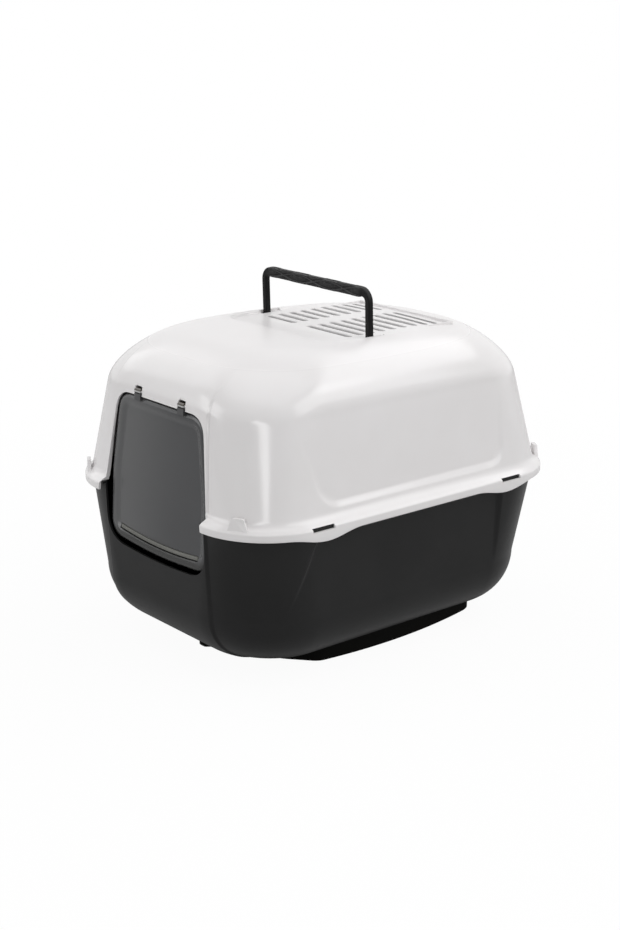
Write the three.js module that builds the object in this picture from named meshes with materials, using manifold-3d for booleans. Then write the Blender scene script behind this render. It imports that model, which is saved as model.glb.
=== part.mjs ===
// Cat litter box with hood: a tub, a clip-on hood, a swinging door flap,
// a folding carry handle and a charcoal filter in a slide-in holder under the vents.
// Millimetres. X is the width, the doorway faces -Y, Z is up, the plinth stands on z = 0.
import * as THREE from "three";
import Module from "manifold-3d";

const wasm = await Module();
wasm.setup();

// ---- driving dimensions -------------------------------------------------

// The rim: the widest line of the object, where the hood's skirt covers the tub's lip.
const RIM_WIDTH = 395;
const RIM_LENGTH = 514;
const RIM_CORNER = 95;
const FLANGE_TOP = 204.5;
const FLANGE_THICKNESS = 3.5;
const SKIRT_BOTTOM = 190;
const SKIRT_THICKNESS = 3;
const FLANGE_FALL = 5.5;
const FLANGE_FALL_REACH = 9;
const FLANGE_EDGE_ROUND = 1.6;
const FLANGE_CORNER_CHAMFER = 1.5;
const RIM_SIDE = RIM_WIDTH / 2;
const RIM_END = RIM_LENGTH / 2;

// The tub.
const TUB_WALL = 2.8;
const TUB_TOP_HALF_WIDTH = RIM_SIDE - 9;
const TUB_TOP_FRONT = RIM_END - 9.5;
const TUB_TOP_REAR = RIM_END - 11;
const TUB_TOP_CORNER = 84;
const TUB_BEND_Z = 84;
const TUB_BEND_HALF_WIDTH = TUB_TOP_HALF_WIDTH - 10;
const TUB_BEND_FRONT = TUB_TOP_FRONT - 5.5;
const TUB_BEND_REAR = TUB_TOP_REAR - 11;
const TUB_BEND_CORNER = 100;
const TUB_FLOOR_Z = 17;
const TUB_FLOOR_HALF_WIDTH = TUB_BEND_HALF_WIDTH - 65;
const TUB_FLOOR_FRONT = TUB_BEND_FRONT - 72;
const TUB_FLOOR_REAR = TUB_BEND_REAR - 48;
const TUB_FLOOR_CORNER = 52;
const LIP_REACH = 4.1;
const LIP_THICKNESS = 3;

// The plinth under the tub: bowed sides, square rear, a front drawn to a short nose.
const PLINTH_SHOULDER_X = TUB_FLOOR_HALF_WIDTH + 13.5;
const PLINTH_SHOULDER_Y = -(TUB_FLOOR_FRONT - 70);
const PLINTH_HIP_X = TUB_FLOOR_HALF_WIDTH + 4.5;
const PLINTH_HIP_Y = TUB_FLOOR_REAR - 27;
const PLINTH_SIDE_BOW = 12;
const PLINTH_REAR = TUB_FLOOR_REAR - 9;
const PLINTH_REAR_HALF_WIDTH = TUB_FLOOR_HALF_WIDTH - 13.5;
const PLINTH_CHEEK_X = TUB_FLOOR_HALF_WIDTH - 20.5;
const PLINTH_CHEEK_Y = -(TUB_FLOOR_FRONT - 40);
const PLINTH_NOSE_X = 14;
const PLINTH_NOSE_ROOT_Y = -TUB_FLOOR_FRONT;
const PLINTH_NOSE_TIP_X = 5;
const PLINTH_NOSE_Y = -(TUB_FLOOR_FRONT + 10.5);

// The hood.
const HOOD_WALL = 2.6;
const HOOD_BASE_HALF_WIDTH = RIM_SIDE - 13;
const HOOD_BASE_FRONT = RIM_END - 12.8;
const HOOD_BASE_REAR = RIM_END - 15;
const HOOD_BASE_CORNER = 73;
const SHOULDER_Z = 318;
const SHOULDER_HALF_WIDTH = HOOD_BASE_HALF_WIDTH - 15.5;
const SHOULDER_FRONT = HOOD_BASE_FRONT - 9.9;
const SHOULDER_REAR = HOOD_BASE_REAR - 17;
const SHOULDER_CORNER = 85;
const SHOULDER_CORNER_SWELL = 18;
const SHOULDER_RADIUS_SIDE = 72;
const SHOULDER_RADIUS_FRONT = 75;
const SHOULDER_RADIUS_REAR = 49;
const CROWN_Z = 382.4;
const CROWN_PEAK_Y = -(SHOULDER_FRONT - 180.3);
const CROWN_FALL_X = 2.2e-4;
const CROWN_FALL_Y = 2.1e-4;

// The doorway, cut through the hood's front and dipping into the tub.
const DOOR_BASE_HALF_WIDTH = 99.5;
const DOOR_HEAD_HALF_WIDTH = DOOR_BASE_HALF_WIDTH - 16;
const DOOR_TOP = 314;
const DOOR_CORNER = 27;
const RIM_END_X = DOOR_BASE_HALF_WIDTH + 2.9;
const DIP_HALF_WIDTH = DOOR_BASE_HALF_WIDTH - 1.5;
const DIP_BOTTOM = 121;
const DIP_SIDE_RISE = 6;
const DIP_CORNER = 36;
const LOWER_EDGE_ROUND = 700;

// The raised front panel that runs down hood and tub.
const PANEL_HALF_WIDTH = DOOR_BASE_HALF_WIDTH + 1.5;
const PANEL_PROUD = 2.5;
const PANEL_UNDERHANG = 1;

// Pressed-in panels on the long sides: deepest beside the rim, running out to nothing.
const SIDE_PANEL_DEPTH = 4;
const SIDE_PANEL_END_DEPTH = 0.6;
const HOOD_PANEL_BOTTOM = 217;
const HOOD_PANEL_TOP = 312;
const HOOD_PANEL_FRONT_BOTTOM = -(RIM_END - 115);
const HOOD_PANEL_FRONT_TOP = -(RIM_END - 82);
const HOOD_PANEL_REAR = RIM_END - 110;
const TUB_PANEL_TOP = 184;
const TUB_PANEL_BOTTOM = 92;
const TUB_PANEL_FRONT_TOP = -(RIM_END - 104);
const TUB_PANEL_FRONT_BOTTOM = -(RIM_END - 71);
const TUB_PANEL_REAR = RIM_END - 117;

// Snap points: a window in the skirt, a drop in its lower edge and a nose on the tub's lip.
const SNAP_FRONT = -(RIM_END - 102);
const SNAP_REAR = RIM_END - 110;
const SNAP_LENGTH = 32;
const SNAP_NOSE_REACH = 1.5;
const SNAP_NOSE_HEIGHT = 4.6;
const SNAP_PLAY = 0.5;
const LOBE_DROP = 7;
const LOBE_HALF_LENGTH = 52;
const LOBE_INBOARD = 7;

// Corner lugs: tapered tabs standing on the rim a little in from its edge.
const LUG_ANGLE = 59;
const LUG_TOP_Z = 216;
const LUG_BASE_WIDTH = 26;
const LUG_TOP_WIDTH = 13.5;
const LUG_SET_BACK = 2.6;
const LUG_THICKNESS = 4.5;

// The flap.
const FLAP_GAP = 2;
const FLAP_DIP_GAP = 5.4;
const FLAP_BOTTOM = DIP_BOTTOM + FLAP_DIP_GAP;
const FLAP_TOP = DOOR_TOP - 2.5;
const FLAP_THICKNESS = 2.4;
const FLAP_CORNER = 25;
const FLAP_FRONT_TOP_Y = -(RIM_END - 21);
const FLAP_LEAN = 2.6;
const FLAP_DISH = 3;
const FLAP_ROLL_WIDTH = 11;
const FLAP_RIB_HEIGHT = 5.5;
const FLAP_RIB_PROUD = 1.6;
const FLAP_RIB_HALF_LENGTH = DIP_HALF_WIDTH - 21;
const FLAP_RIB_Z = FLAP_BOTTOM + 13;
const FLAP_RIB_RISE = 5.5;

// The flap's two hooks and the round bars they hang on.
const HINGE_X = DOOR_HEAD_HALF_WIDTH - 41;
const HINGE_Y = -(RIM_END - 21.7);
const HINGE_Z = DOOR_TOP + 7.5;
const HINGE_BAR_RADIUS = 2.4;
const HOOK_PLAY = 0.4;
const HOOK_WALL = 2.4;
const HOOK_WIDTH = 9;
const HOOK_SIDE_PLAY = 0.8;
const POCKET_TOP = HINGE_Z + 12.5;

// The vent field: a level floor sunk into the crown, with two columns of slots.
const VENT_FLOOR_Z = CROWN_Z - 5.4;
const VENT_FIELD_HALF_WIDTH = 96;
const VENT_FIELD_FRONT = -70;
const VENT_FIELD_REAR = SHOULDER_REAR - 50;
const VENT_FIELD_CORNER = 28;
const VENT_ROWS = 9;
const VENT_PITCH = 17.75;
const VENT_FIRST_Y = -14;
const VENT_SLOT_WIDTH = 8.4;
const VENT_LEFT_START = -78.6;
const VENT_LEFT_END = -23.6;
const VENT_RIGHT_START = -1;
const VENT_RIGHT_END = 78.6;

// The carry handle: a bail with a thicker grip, hinged just under the hood's skin.
const HANDLE_X = 96.5;
const HANDLE_Y = -1;
const HANDLE_PIVOT_Z = VENT_FLOOR_Z - 4;
const HANDLE_GRIP_Z = HANDLE_PIVOT_Z + 58.7;
const HANDLE_LEAN = 2.3;
const LEG_SIZE = 6.4;
const GRIP_HEIGHT = 10;
const GRIP_DEPTH = 9.4;
const BAIL_CORNER = 12;
const EYE_RADIUS = 4.8;
const PIN_RADIUS = 3;
const PIN_PLAY = 0.35;
const CHEEK_THICKNESS = 2.8;
const CHEEK_GAP = 1;
const HANDLE_SLOT_WIDTH = 8.6;
const HANDLE_SLOT_FRONT = -12;
const HANDLE_SLOT_REAR = 20.5;

// The filter holder and its rails under the vent floor.
const HOLDER_HALF_WIDTH = 82;
const HOLDER_FRONT = -32;
const HOLDER_REAR = 146;
const HOLDER_HEIGHT = 11;
const HOLDER_WALL = 2;
const HOLDER_FLOOR = 2;
const HOLDER_BOTTOM_Z = VENT_FLOOR_Z - 19.5;
const HOLDER_SLOTS = 9;
const HOLDER_SLOT_WIDTH = 9;
const HOLDER_SLOT_MARGIN = 12;
const HOLDER_SPINE_HALF_WIDTH = 4;
const HOLDER_TAB_HALF_WIDTH = 20;
const HOLDER_TAB_REACH = 9;
const RAIL_PLAY = 0.5;
const RAIL_WEB = 2.6;
const RAIL_LEDGE = 4;
const RAIL_STOP = 2.6;
const FILTER_THICKNESS = 8;
const FILTER_PLAY = 0.6;

// Fit between pieces that rest on each other.
const SEAT = 0.3;

// Fineness.
const CORNER_STEPS = 9;
const SIDE_STEPS = 26;
const SHOULDER_STEPS = 7;
const EPS = 0.01;

// ---- solids -------------------------------------------------------------

// Turns a closed three.js geometry into a solid.
function solid(geometry) {
  const source = geometry.index ? geometry.toNonIndexed() : geometry;
  const position = source.getAttribute("position");
  const lookup = new Map();
  const vertices = [];
  const triangles = [];
  for (let i = 0; i < position.count; i++) {
    const p = [position.getX(i), position.getY(i), position.getZ(i)];
    const key = p.map((c) => Math.round(c * 1e4)).join();
    if (!lookup.has(key)) {
      lookup.set(key, vertices.length / 3);
      vertices.push(...p);
    }
    triangles.push(lookup.get(key));
  }
  const kept = [];
  for (let i = 0; i < triangles.length; i += 3) {
    const [a, b, c] = triangles.slice(i, i + 3);
    if (a !== b && b !== c && c !== a) kept.push(a, b, c);
  }
  return new wasm.Manifold(
    new wasm.Mesh({
      numProp: 3,
      vertProperties: new Float32Array(vertices),
      triVerts: new Uint32Array(kept),
    }),
  );
}

const union = (parts) => parts.reduce((all, part) => all.add(part));
const cut = (body, tools) => tools.reduce((all, tool) => all.subtract(tool), body);

function box(x0, x1, y0, y1, z0, z1) {
  const geometry = new THREE.BoxGeometry(x1 - x0, y1 - y0, z1 - z0);
  geometry.translate((x0 + x1) / 2, (y0 + y1) / 2, (z0 + z1) / 2);
  return solid(geometry);
}

// A round bar along X.
function barX(radius, x0, x1, y, z, steps = 20) {
  const geometry = new THREE.CylinderGeometry(radius, radius, x1 - x0, steps);
  geometry.rotateZ(Math.PI / 2);
  geometry.translate((x0 + x1) / 2, y, z);
  return solid(geometry);
}

// A shape drawn in plan, raised from z0 to z1.
function plate(shape, z0, z1, curveSegments = 6) {
  const options = { depth: z1 - z0, bevelEnabled: false, curveSegments };
  const geometry = new THREE.ExtrudeGeometry(shape, options);
  geometry.translate(0, 0, z0);
  return solid(geometry);
}

// A shape drawn in elevation as (x, z), spanning y0 to y1.
function wallPlate(shape, y0, y1, curveSegments = 6) {
  const options = { depth: y1 - y0, bevelEnabled: false, curveSegments };
  const geometry = new THREE.ExtrudeGeometry(shape, options);
  geometry.rotateX(Math.PI / 2);
  geometry.translate(0, y1, 0);
  return solid(geometry);
}

// A polygon with each corner rounded by the radius beside it: [x, y, radius].
function roundedShape(corners) {
  const shape = new THREE.Shape();
  const n = corners.length;
  corners.forEach(([x, y, radius], i) => {
    const before = corners[(i + n - 1) % n];
    const after = corners[(i + 1) % n];
    const corner = new THREE.Vector2(x, y);
    const back = new THREE.Vector2(before[0], before[1]).sub(corner).normalize();
    const ahead = new THREE.Vector2(after[0], after[1]).sub(corner).normalize();
    const half = Math.acos(THREE.MathUtils.clamp(back.dot(ahead), -1, 1)) / 2;
    const reach = radius > 0 ? radius / Math.tan(half) : 0;
    const start = corner.clone().addScaledVector(back, reach);
    const end = corner.clone().addScaledVector(ahead, reach);
    if (i === 0) shape.moveTo(start.x, start.y);
    else shape.lineTo(start.x, start.y);
    if (reach > 0) shape.quadraticCurveTo(x, y, end.x, end.y);
  });
  shape.closePath();
  return shape;
}

const mirrored = (points) => [...points, ...points.map(([x, y, r]) => [-x, y, r]).reverse()];

// One level of a lofted body: a rounded rectangle in plan, walked counter-clockwise.
function level({ halfWidth, front, rear, corner, z, height = (x, y) => z, sideSteps = 3 }) {
  const radius = Math.min(corner, halfWidth - 1, (front + rear) / 2 - 1);
  const centres = [
    [halfWidth - radius, rear - radius, 0],
    [-(halfWidth - radius), rear - radius, 90],
    [-(halfWidth - radius), -(front - radius), 180],
    [halfWidth - radius, -(front - radius), 270],
  ];
  const ring = [];
  centres.forEach(([cx, cy, start], k) => {
    for (let i = 0; i <= CORNER_STEPS; i++) {
      const angle = THREE.MathUtils.degToRad(start + (90 * i) / CORNER_STEPS);
      ring.push([cx + radius * Math.cos(angle), cy + radius * Math.sin(angle)]);
    }
    const [nx, ny, next] = centres[(k + 1) % 4];
    const turn = THREE.MathUtils.degToRad(next);
    const from = ring[ring.length - 1];
    const to = [nx + radius * Math.cos(turn), ny + radius * Math.sin(turn)];
    const steps = k % 2 === 0 ? 3 : sideSteps;
    for (let i = 1; i < steps; i++) {
      const t = i / steps;
      ring.push([from[0] + (to[0] - from[0]) * t, from[1] + (to[1] - from[1]) * t]);
    }
  });
  return ring.map(([x, y]) => [x, y, height(x, y)]);
}

// Joins levels, lowest first, into a closed body with a fan over each end.
function loft(levels) {
  const count = levels[0].length;
  const points = levels.flat();
  const faces = [];
  for (let k = 0; k + 1 < levels.length; k++) {
    for (let i = 0; i < count; i++) {
      const a = k * count + i;
      const b = k * count + ((i + 1) % count);
      faces.push(a, b, b + count, a, b + count, a + count);
    }
  }
  const middle = (ring) => ring.reduce((m, p) => m.map((c, j) => c + p[j] / count), [0, 0, 0]);
  const bottom = points.push(middle(levels[0])) - 1;
  const top = points.push(middle(levels[levels.length - 1])) - 1;
  const last = (levels.length - 1) * count;
  for (let i = 0; i < count; i++) {
    const next = (i + 1) % count;
    faces.push(bottom, next, i, top, last + i, last + next);
  }
  const geometry = new THREE.BufferGeometry();
  geometry.setAttribute("position", new THREE.Float32BufferAttribute(points.flat(), 3));
  geometry.setIndex(faces);
  return solid(geometry);
}

const mix = (a, b, t) => a + (b - a) * t;
const snapEnds = [SNAP_FRONT, SNAP_REAR];
const lobeEnds = [SNAP_FRONT + LOBE_INBOARD, SNAP_REAR - LOBE_INBOARD];
const sides = [-1, 1];

// ---- the rim ------------------------------------------------------------

// The rim's outline, moved inwards by inset.
function rimLevel(z, inset, height) {
  return level({
    halfWidth: RIM_WIDTH / 2 - inset,
    front: RIM_LENGTH / 2 - inset,
    rear: RIM_LENGTH / 2 - inset,
    corner: RIM_CORNER - inset,
    z,
    height,
    sideSteps: SIDE_STEPS,
  });
}

// How far the skirt's lower edge hangs down beside each snap point.
function lobe(x, y) {
  const reach = Math.min(...lobeEnds.map((s) => Math.abs(y - s))) / LOBE_HALF_LENGTH;
  const beside = Math.abs(x) > RIM_WIDTH / 4 ? 1 : 0;
  return reach < 1 ? (beside * LOBE_DROP * (1 + Math.cos(Math.PI * reach))) / 2 : 0;
}

const FLANGE_UNDERSIDE = FLANGE_TOP - FLANGE_THICKNESS;
const LIP_TOP = FLANGE_UNDERSIDE - SEAT;

// ---- the tub ------------------------------------------------------------

// The tub's form from floor to lip, grown by out and raised by up.
function tubBody(out, up) {
  const levels = [];
  for (let i = 0; i <= SHOULDER_STEPS; i++) {
    const angle = (Math.PI / 2) * (i / SHOULDER_STEPS);
    const swing = 1 - Math.sin(angle);
    const z = mix(TUB_BEND_Z, TUB_FLOOR_Z, Math.cos(angle)) + up * Math.cos(angle);
    levels.push(
      level({
        halfWidth: mix(TUB_BEND_HALF_WIDTH, TUB_FLOOR_HALF_WIDTH, swing) + out,
        front: mix(TUB_BEND_FRONT, TUB_FLOOR_FRONT, swing) + out,
        rear: mix(TUB_BEND_REAR, TUB_FLOOR_REAR, swing) + out,
        corner: mix(TUB_BEND_CORNER, TUB_FLOOR_CORNER, swing) + out,
        z,
      }),
    );
  }
  levels.push(
    level({
      halfWidth: TUB_TOP_HALF_WIDTH + out,
      front: TUB_TOP_FRONT + out,
      rear: TUB_TOP_REAR + out,
      corner: TUB_TOP_CORNER + out,
      z: LIP_TOP + (up > 0 ? 1 : 0),
    }),
  );
  return loft(levels);
}

// The plinth's outline drawn in by inset, walked from its nose round both bowed sides.
function plinthShape(inset) {
  const half = [
    [PLINTH_NOSE_TIP_X, PLINTH_NOSE_Y + inset],
    [PLINTH_NOSE_X - inset, PLINTH_NOSE_ROOT_Y + inset],
    [PLINTH_CHEEK_X - inset / 2, PLINTH_CHEEK_Y + inset],
    [PLINTH_SHOULDER_X - inset, PLINTH_SHOULDER_Y + inset / 2],
    [PLINTH_HIP_X - inset, PLINTH_HIP_Y - inset / 2],
    [PLINTH_REAR_HALF_WIDTH - inset / 2, PLINTH_REAR - inset],
  ];
  const bowX = (PLINTH_SHOULDER_X + PLINTH_HIP_X) / 2 - inset + 2 * PLINTH_SIDE_BOW;
  const bowY = (PLINTH_SHOULDER_Y + PLINTH_HIP_Y) / 2;
  const shape = new THREE.Shape();
  shape.moveTo(...half[0]);
  half.slice(1, 4).forEach((p) => shape.lineTo(...p));
  shape.quadraticCurveTo(bowX, bowY, ...half[4]);
  shape.lineTo(...half[5]);
  shape.lineTo(-half[5][0], half[5][1]);
  shape.lineTo(-half[4][0], half[4][1]);
  shape.quadraticCurveTo(-bowX, bowY, -half[3][0], half[3][1]);
  half.slice(0, 3).reverse().forEach(([x, y]) => shape.lineTo(-x, y));
  shape.closePath();
  return shape;
}

// Tools that press a panel into both long walls: an outline in (y, z), cut down to a floor body.
function pressedPanels(outline, floorBody) {
  const shape = roundedShape(outline);
  const options = { depth: RIM_WIDTH / 4, bevelEnabled: false, curveSegments: 5 };
  const geometry = new THREE.ExtrudeGeometry(shape, options);
  geometry.applyMatrix4(new THREE.Matrix4().set(0, 0, 1, 0, 1, 0, 0, 0, 0, 1, 0, 0, 0, 0, 0, 1));
  const prism = solid(geometry);
  const offsets = [RIM_WIDTH / 3, -RIM_WIDTH / 3 - RIM_WIDTH / 4];
  return offsets.map((x) => prism.translate([x, 0, 0]).subtract(floorBody));
}

// The floor of the tub's side panels: the tub's wall, set back more towards the rim.
function tubPanelFloor(extra) {
  const floorLevel = (z) => {
    const t = (z - TUB_BEND_Z) / (LIP_TOP - TUB_BEND_Z);
    const rise = (z - TUB_PANEL_BOTTOM) / (TUB_PANEL_TOP - TUB_PANEL_BOTTOM);
    const back = mix(SIDE_PANEL_END_DEPTH, SIDE_PANEL_DEPTH, rise) + extra;
    return level({
      halfWidth: mix(TUB_BEND_HALF_WIDTH, TUB_TOP_HALF_WIDTH, t) - back,
      front: mix(TUB_BEND_FRONT, TUB_TOP_FRONT, t) - back,
      rear: mix(TUB_BEND_REAR, TUB_TOP_REAR, t) - back,
      corner: mix(TUB_BEND_CORNER, TUB_TOP_CORNER, t) - back,
      z,
    });
  };
  return loft([floorLevel(TUB_PANEL_BOTTOM - 8), floorLevel(TUB_PANEL_TOP + 12)]);
}

function tubPanels(extra) {
  const grow = extra > 0 ? extra : 0;
  const outline = [
    [TUB_PANEL_REAR + grow, TUB_PANEL_BOTTOM - grow, 4],
    [TUB_PANEL_REAR + grow, TUB_PANEL_TOP + grow, 8],
    [TUB_PANEL_FRONT_TOP - grow, TUB_PANEL_TOP + grow, 8],
    [TUB_PANEL_FRONT_BOTTOM - grow, TUB_PANEL_BOTTOM - grow, 4],
  ];
  return pressedPanels(outline, tubPanelFloor(extra));
}

// The tub's front panel: the same form a little proud, kept between the panel's edges.
function tubFrontPanel(proud, halfWidth) {
  const form = tubBody(proud, -PANEL_UNDERHANG);
  return form.intersect(box(-halfWidth, halfWidth, -RIM_LENGTH / 2, -120, 0, LIP_TOP + 9));
}

function dipShape(topZ) {
  return roundedShape([
    [-DIP_HALF_WIDTH, DIP_BOTTOM + DIP_SIDE_RISE, DIP_CORNER],
    [0, DIP_BOTTOM, LOWER_EDGE_ROUND],
    [DIP_HALF_WIDTH, DIP_BOTTOM + DIP_SIDE_RISE, DIP_CORNER],
    [DIP_HALF_WIDTH, topZ, 0],
    [-DIP_HALF_WIDTH, topZ, 0],
  ]);
}

function makeTub() {
  const tubPanelHalfWidth = PANEL_HALF_WIDTH - 1;
  const lip = loft([
    rimLevel(LIP_TOP - LIP_THICKNESS, RIM_WIDTH / 2 - TUB_TOP_HALF_WIDTH - LIP_REACH),
    rimLevel(LIP_TOP, RIM_WIDTH / 2 - TUB_TOP_HALF_WIDTH - LIP_REACH),
  ]);
  const noseOuter = TUB_TOP_HALF_WIDTH + LIP_REACH + SNAP_NOSE_REACH;
  const noses = sides.flatMap((side) =>
    snapEnds.map((y) => {
      const inner = side * (TUB_TOP_HALF_WIDTH - 1);
      const outer = side * noseOuter;
      const half = SNAP_LENGTH / 2 - SNAP_PLAY;
      const bottom = LIP_TOP - SNAP_NOSE_HEIGHT + SNAP_PLAY;
      const [x0, x1] = [Math.min(inner, outer), Math.max(inner, outer)];
      return box(x0, x1, y - half, y + half, bottom, LIP_TOP);
    }),
  );
  const outside = union([
    cut(tubBody(0, 0), tubPanels(0)),
    tubFrontPanel(PANEL_PROUD, tubPanelHalfWidth),
    plate(plinthShape(0), 0, TUB_FLOOR_Z + 6),
    lip,
    ...noses,
  ]);
  const hollow = union([
    cut(tubBody(-TUB_WALL, TUB_WALL), tubPanels(TUB_WALL)),
    tubFrontPanel(PANEL_PROUD - TUB_WALL, tubPanelHalfWidth - TUB_WALL).translate([0, 0, TUB_WALL]),
    plate(plinthShape(TUB_WALL), TUB_WALL, TUB_FLOOR_Z + 12),
  ]);
  const dip = wallPlate(dipShape(LIP_TOP + 5), -RIM_LENGTH / 2 - 5, -RIM_LENGTH / 2 + 60, 8);
  return cut(outside, [hollow, dip]);
}

// ---- the hood -----------------------------------------------------------

function crown(x, y) {
  return CROWN_Z - CROWN_FALL_X * x * x - CROWN_FALL_Y * (y - CROWN_PEAK_Y) ** 2;
}

// The hood's form above the flange, drawn in by inset, its front moved out by proud.
function hoodBody(inset, proud, baseZ) {
  const levels = [];
  const drop = (SHOULDER_Z - baseZ) / (SHOULDER_Z - FLANGE_TOP);
  levels.push(
    level({
      halfWidth: mix(SHOULDER_HALF_WIDTH, HOOD_BASE_HALF_WIDTH, drop) - inset,
      front: mix(SHOULDER_FRONT, HOOD_BASE_FRONT, drop) + proud - inset,
      rear: mix(SHOULDER_REAR, HOOD_BASE_REAR, drop) - inset,
      corner: mix(SHOULDER_CORNER, HOOD_BASE_CORNER, drop) - inset,
      z: baseZ,
    }),
  );
  for (let i = 0; i <= SHOULDER_STEPS; i++) {
    const angle = (Math.PI / 2) * (i / SHOULDER_STEPS);
    const swing = 1 - Math.cos(angle);
    const rise = Math.sin(angle);
    levels.push(
      level({
        halfWidth: SHOULDER_HALF_WIDTH - inset - SHOULDER_RADIUS_SIDE * swing,
        front: SHOULDER_FRONT + proud * (1 - swing) - inset - SHOULDER_RADIUS_FRONT * swing,
        rear: SHOULDER_REAR - inset - SHOULDER_RADIUS_REAR * swing,
        corner: SHOULDER_CORNER - inset + SHOULDER_CORNER_SWELL * Math.sin(2 * angle),
        height: (x, y) => SHOULDER_Z + rise * (crown(x, y) - inset - SHOULDER_Z),
      }),
    );
  }
  const flat = levels[levels.length - 1];
  const middleY = (SHOULDER_REAR - SHOULDER_RADIUS_REAR - SHOULDER_FRONT + SHOULDER_RADIUS_FRONT) / 2;
  for (const scale of [0.66, 0.33]) {
    levels.push(
      flat.map(([x, y]) => {
        const sx = x * scale;
        const sy = middleY + (y - middleY) * scale;
        return [sx, sy, crown(sx, sy) - inset];
      }),
    );
  }
  return loft(levels);
}

// The floor of the hood's side panels: the hood's wall, set back more towards the rim.
function hoodPanelFloor(extra) {
  const floorLevel = (z) => {
    const t = (z - FLANGE_TOP) / (SHOULDER_Z - FLANGE_TOP);
    const fall = (HOOD_PANEL_TOP - z) / (HOOD_PANEL_TOP - HOOD_PANEL_BOTTOM);
    const back = mix(SIDE_PANEL_END_DEPTH, SIDE_PANEL_DEPTH, fall) + extra;
    return level({
      halfWidth: mix(HOOD_BASE_HALF_WIDTH, SHOULDER_HALF_WIDTH, t) - back,
      front: mix(HOOD_BASE_FRONT, SHOULDER_FRONT, t) - back,
      rear: mix(HOOD_BASE_REAR, SHOULDER_REAR, t) - back,
      corner: mix(HOOD_BASE_CORNER, SHOULDER_CORNER, t) - back,
      z,
    });
  };
  return loft([floorLevel(HOOD_PANEL_BOTTOM - 12), floorLevel(HOOD_PANEL_TOP + 5)]);
}

function hoodPanels(extra) {
  const grow = extra > 0 ? extra : 0;
  const outline = [
    [HOOD_PANEL_REAR + grow, HOOD_PANEL_BOTTOM - grow, 8],
    [HOOD_PANEL_REAR - 4 + grow, HOOD_PANEL_TOP + grow, 4],
    [HOOD_PANEL_FRONT_TOP - grow, HOOD_PANEL_TOP + grow, 4],
    [HOOD_PANEL_FRONT_BOTTOM - grow, HOOD_PANEL_BOTTOM - grow, 12],
  ];
  return pressedPanels(outline, hoodPanelFloor(extra));
}

function hoodFrontPanel(inset, halfWidth, baseZ) {
  const form = hoodBody(inset, PANEL_PROUD, baseZ);
  return form.intersect(box(-halfWidth, halfWidth, -RIM_LENGTH / 2, -100, baseZ, CROWN_Z + 5));
}

// The doorway in elevation: tapered jambs, a rounded head, open at the bottom.
function doorShape(gap, bottomZ) {
  const taper = (DOOR_BASE_HALF_WIDTH - DOOR_HEAD_HALF_WIDTH) / (DOOR_TOP - FLANGE_TOP);
  const halfAt = (z) => DOOR_BASE_HALF_WIDTH - taper * (z - FLANGE_TOP) - gap;
  return roundedShape([
    [-halfAt(bottomZ), bottomZ, 0],
    [halfAt(bottomZ), bottomZ, 0],
    [halfAt(DOOR_TOP - gap), DOOR_TOP - gap, DOOR_CORNER - gap],
    [-halfAt(DOOR_TOP - gap), DOOR_TOP - gap, DOOR_CORNER - gap],
  ]);
}

// A slot along X with round ends, through the roof.
function slotX(x0, x1, y, width, z0, z1) {
  const r = width / 2;
  const shape = new THREE.Shape();
  shape.moveTo(x0 + r, y - r);
  shape.lineTo(x1 - r, y - r);
  shape.absarc(x1 - r, y, r, -Math.PI / 2, Math.PI / 2, false);
  shape.lineTo(x0 + r, y + r);
  shape.absarc(x0 + r, y, r, Math.PI / 2, (3 * Math.PI) / 2, false);
  return plate(shape, z0, z1, 6);
}

// The sunk vent floor: everything above it is cleared, with rounded front corners.
function ventField() {
  const shape = roundedShape([
    [-VENT_FIELD_HALF_WIDTH, VENT_FIELD_FRONT, VENT_FIELD_CORNER],
    [VENT_FIELD_HALF_WIDTH, VENT_FIELD_FRONT, VENT_FIELD_CORNER],
    [VENT_FIELD_HALF_WIDTH, VENT_FIELD_REAR, 0],
    [-VENT_FIELD_HALF_WIDTH, VENT_FIELD_REAR, 0],
  ]);
  return plate(shape, VENT_FLOOR_Z, CROWN_Z + 10);
}

// A pad under the vent floor that keeps the roof's thickness below the sunk field.
function ventPad() {
  const grown = VENT_FIELD_HALF_WIDTH + HOOD_WALL;
  const shape = roundedShape([
    [-grown, VENT_FIELD_FRONT - HOOD_WALL, VENT_FIELD_CORNER],
    [grown, VENT_FIELD_FRONT - HOOD_WALL, VENT_FIELD_CORNER],
    [grown, VENT_FIELD_REAR, 0],
    [-grown, VENT_FIELD_REAR, 0],
  ]);
  return plate(shape, VENT_FLOOR_Z - HOOD_WALL, CROWN_Z + 10);
}

const ventCuts = () => {
  const cuts = [];
  for (let row = 0; row < VENT_ROWS; row++) {
    const y = VENT_FIRST_Y + row * VENT_PITCH;
    const [z0, z1] = [VENT_FLOOR_Z - 12, CROWN_Z + 5];
    cuts.push(slotX(VENT_LEFT_START, VENT_LEFT_END, y, VENT_SLOT_WIDTH, z0, z1));
    cuts.push(slotX(VENT_RIGHT_START, VENT_RIGHT_END, y, VENT_SLOT_WIDTH, z0, z1));
  }
  return cuts;
};

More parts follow.
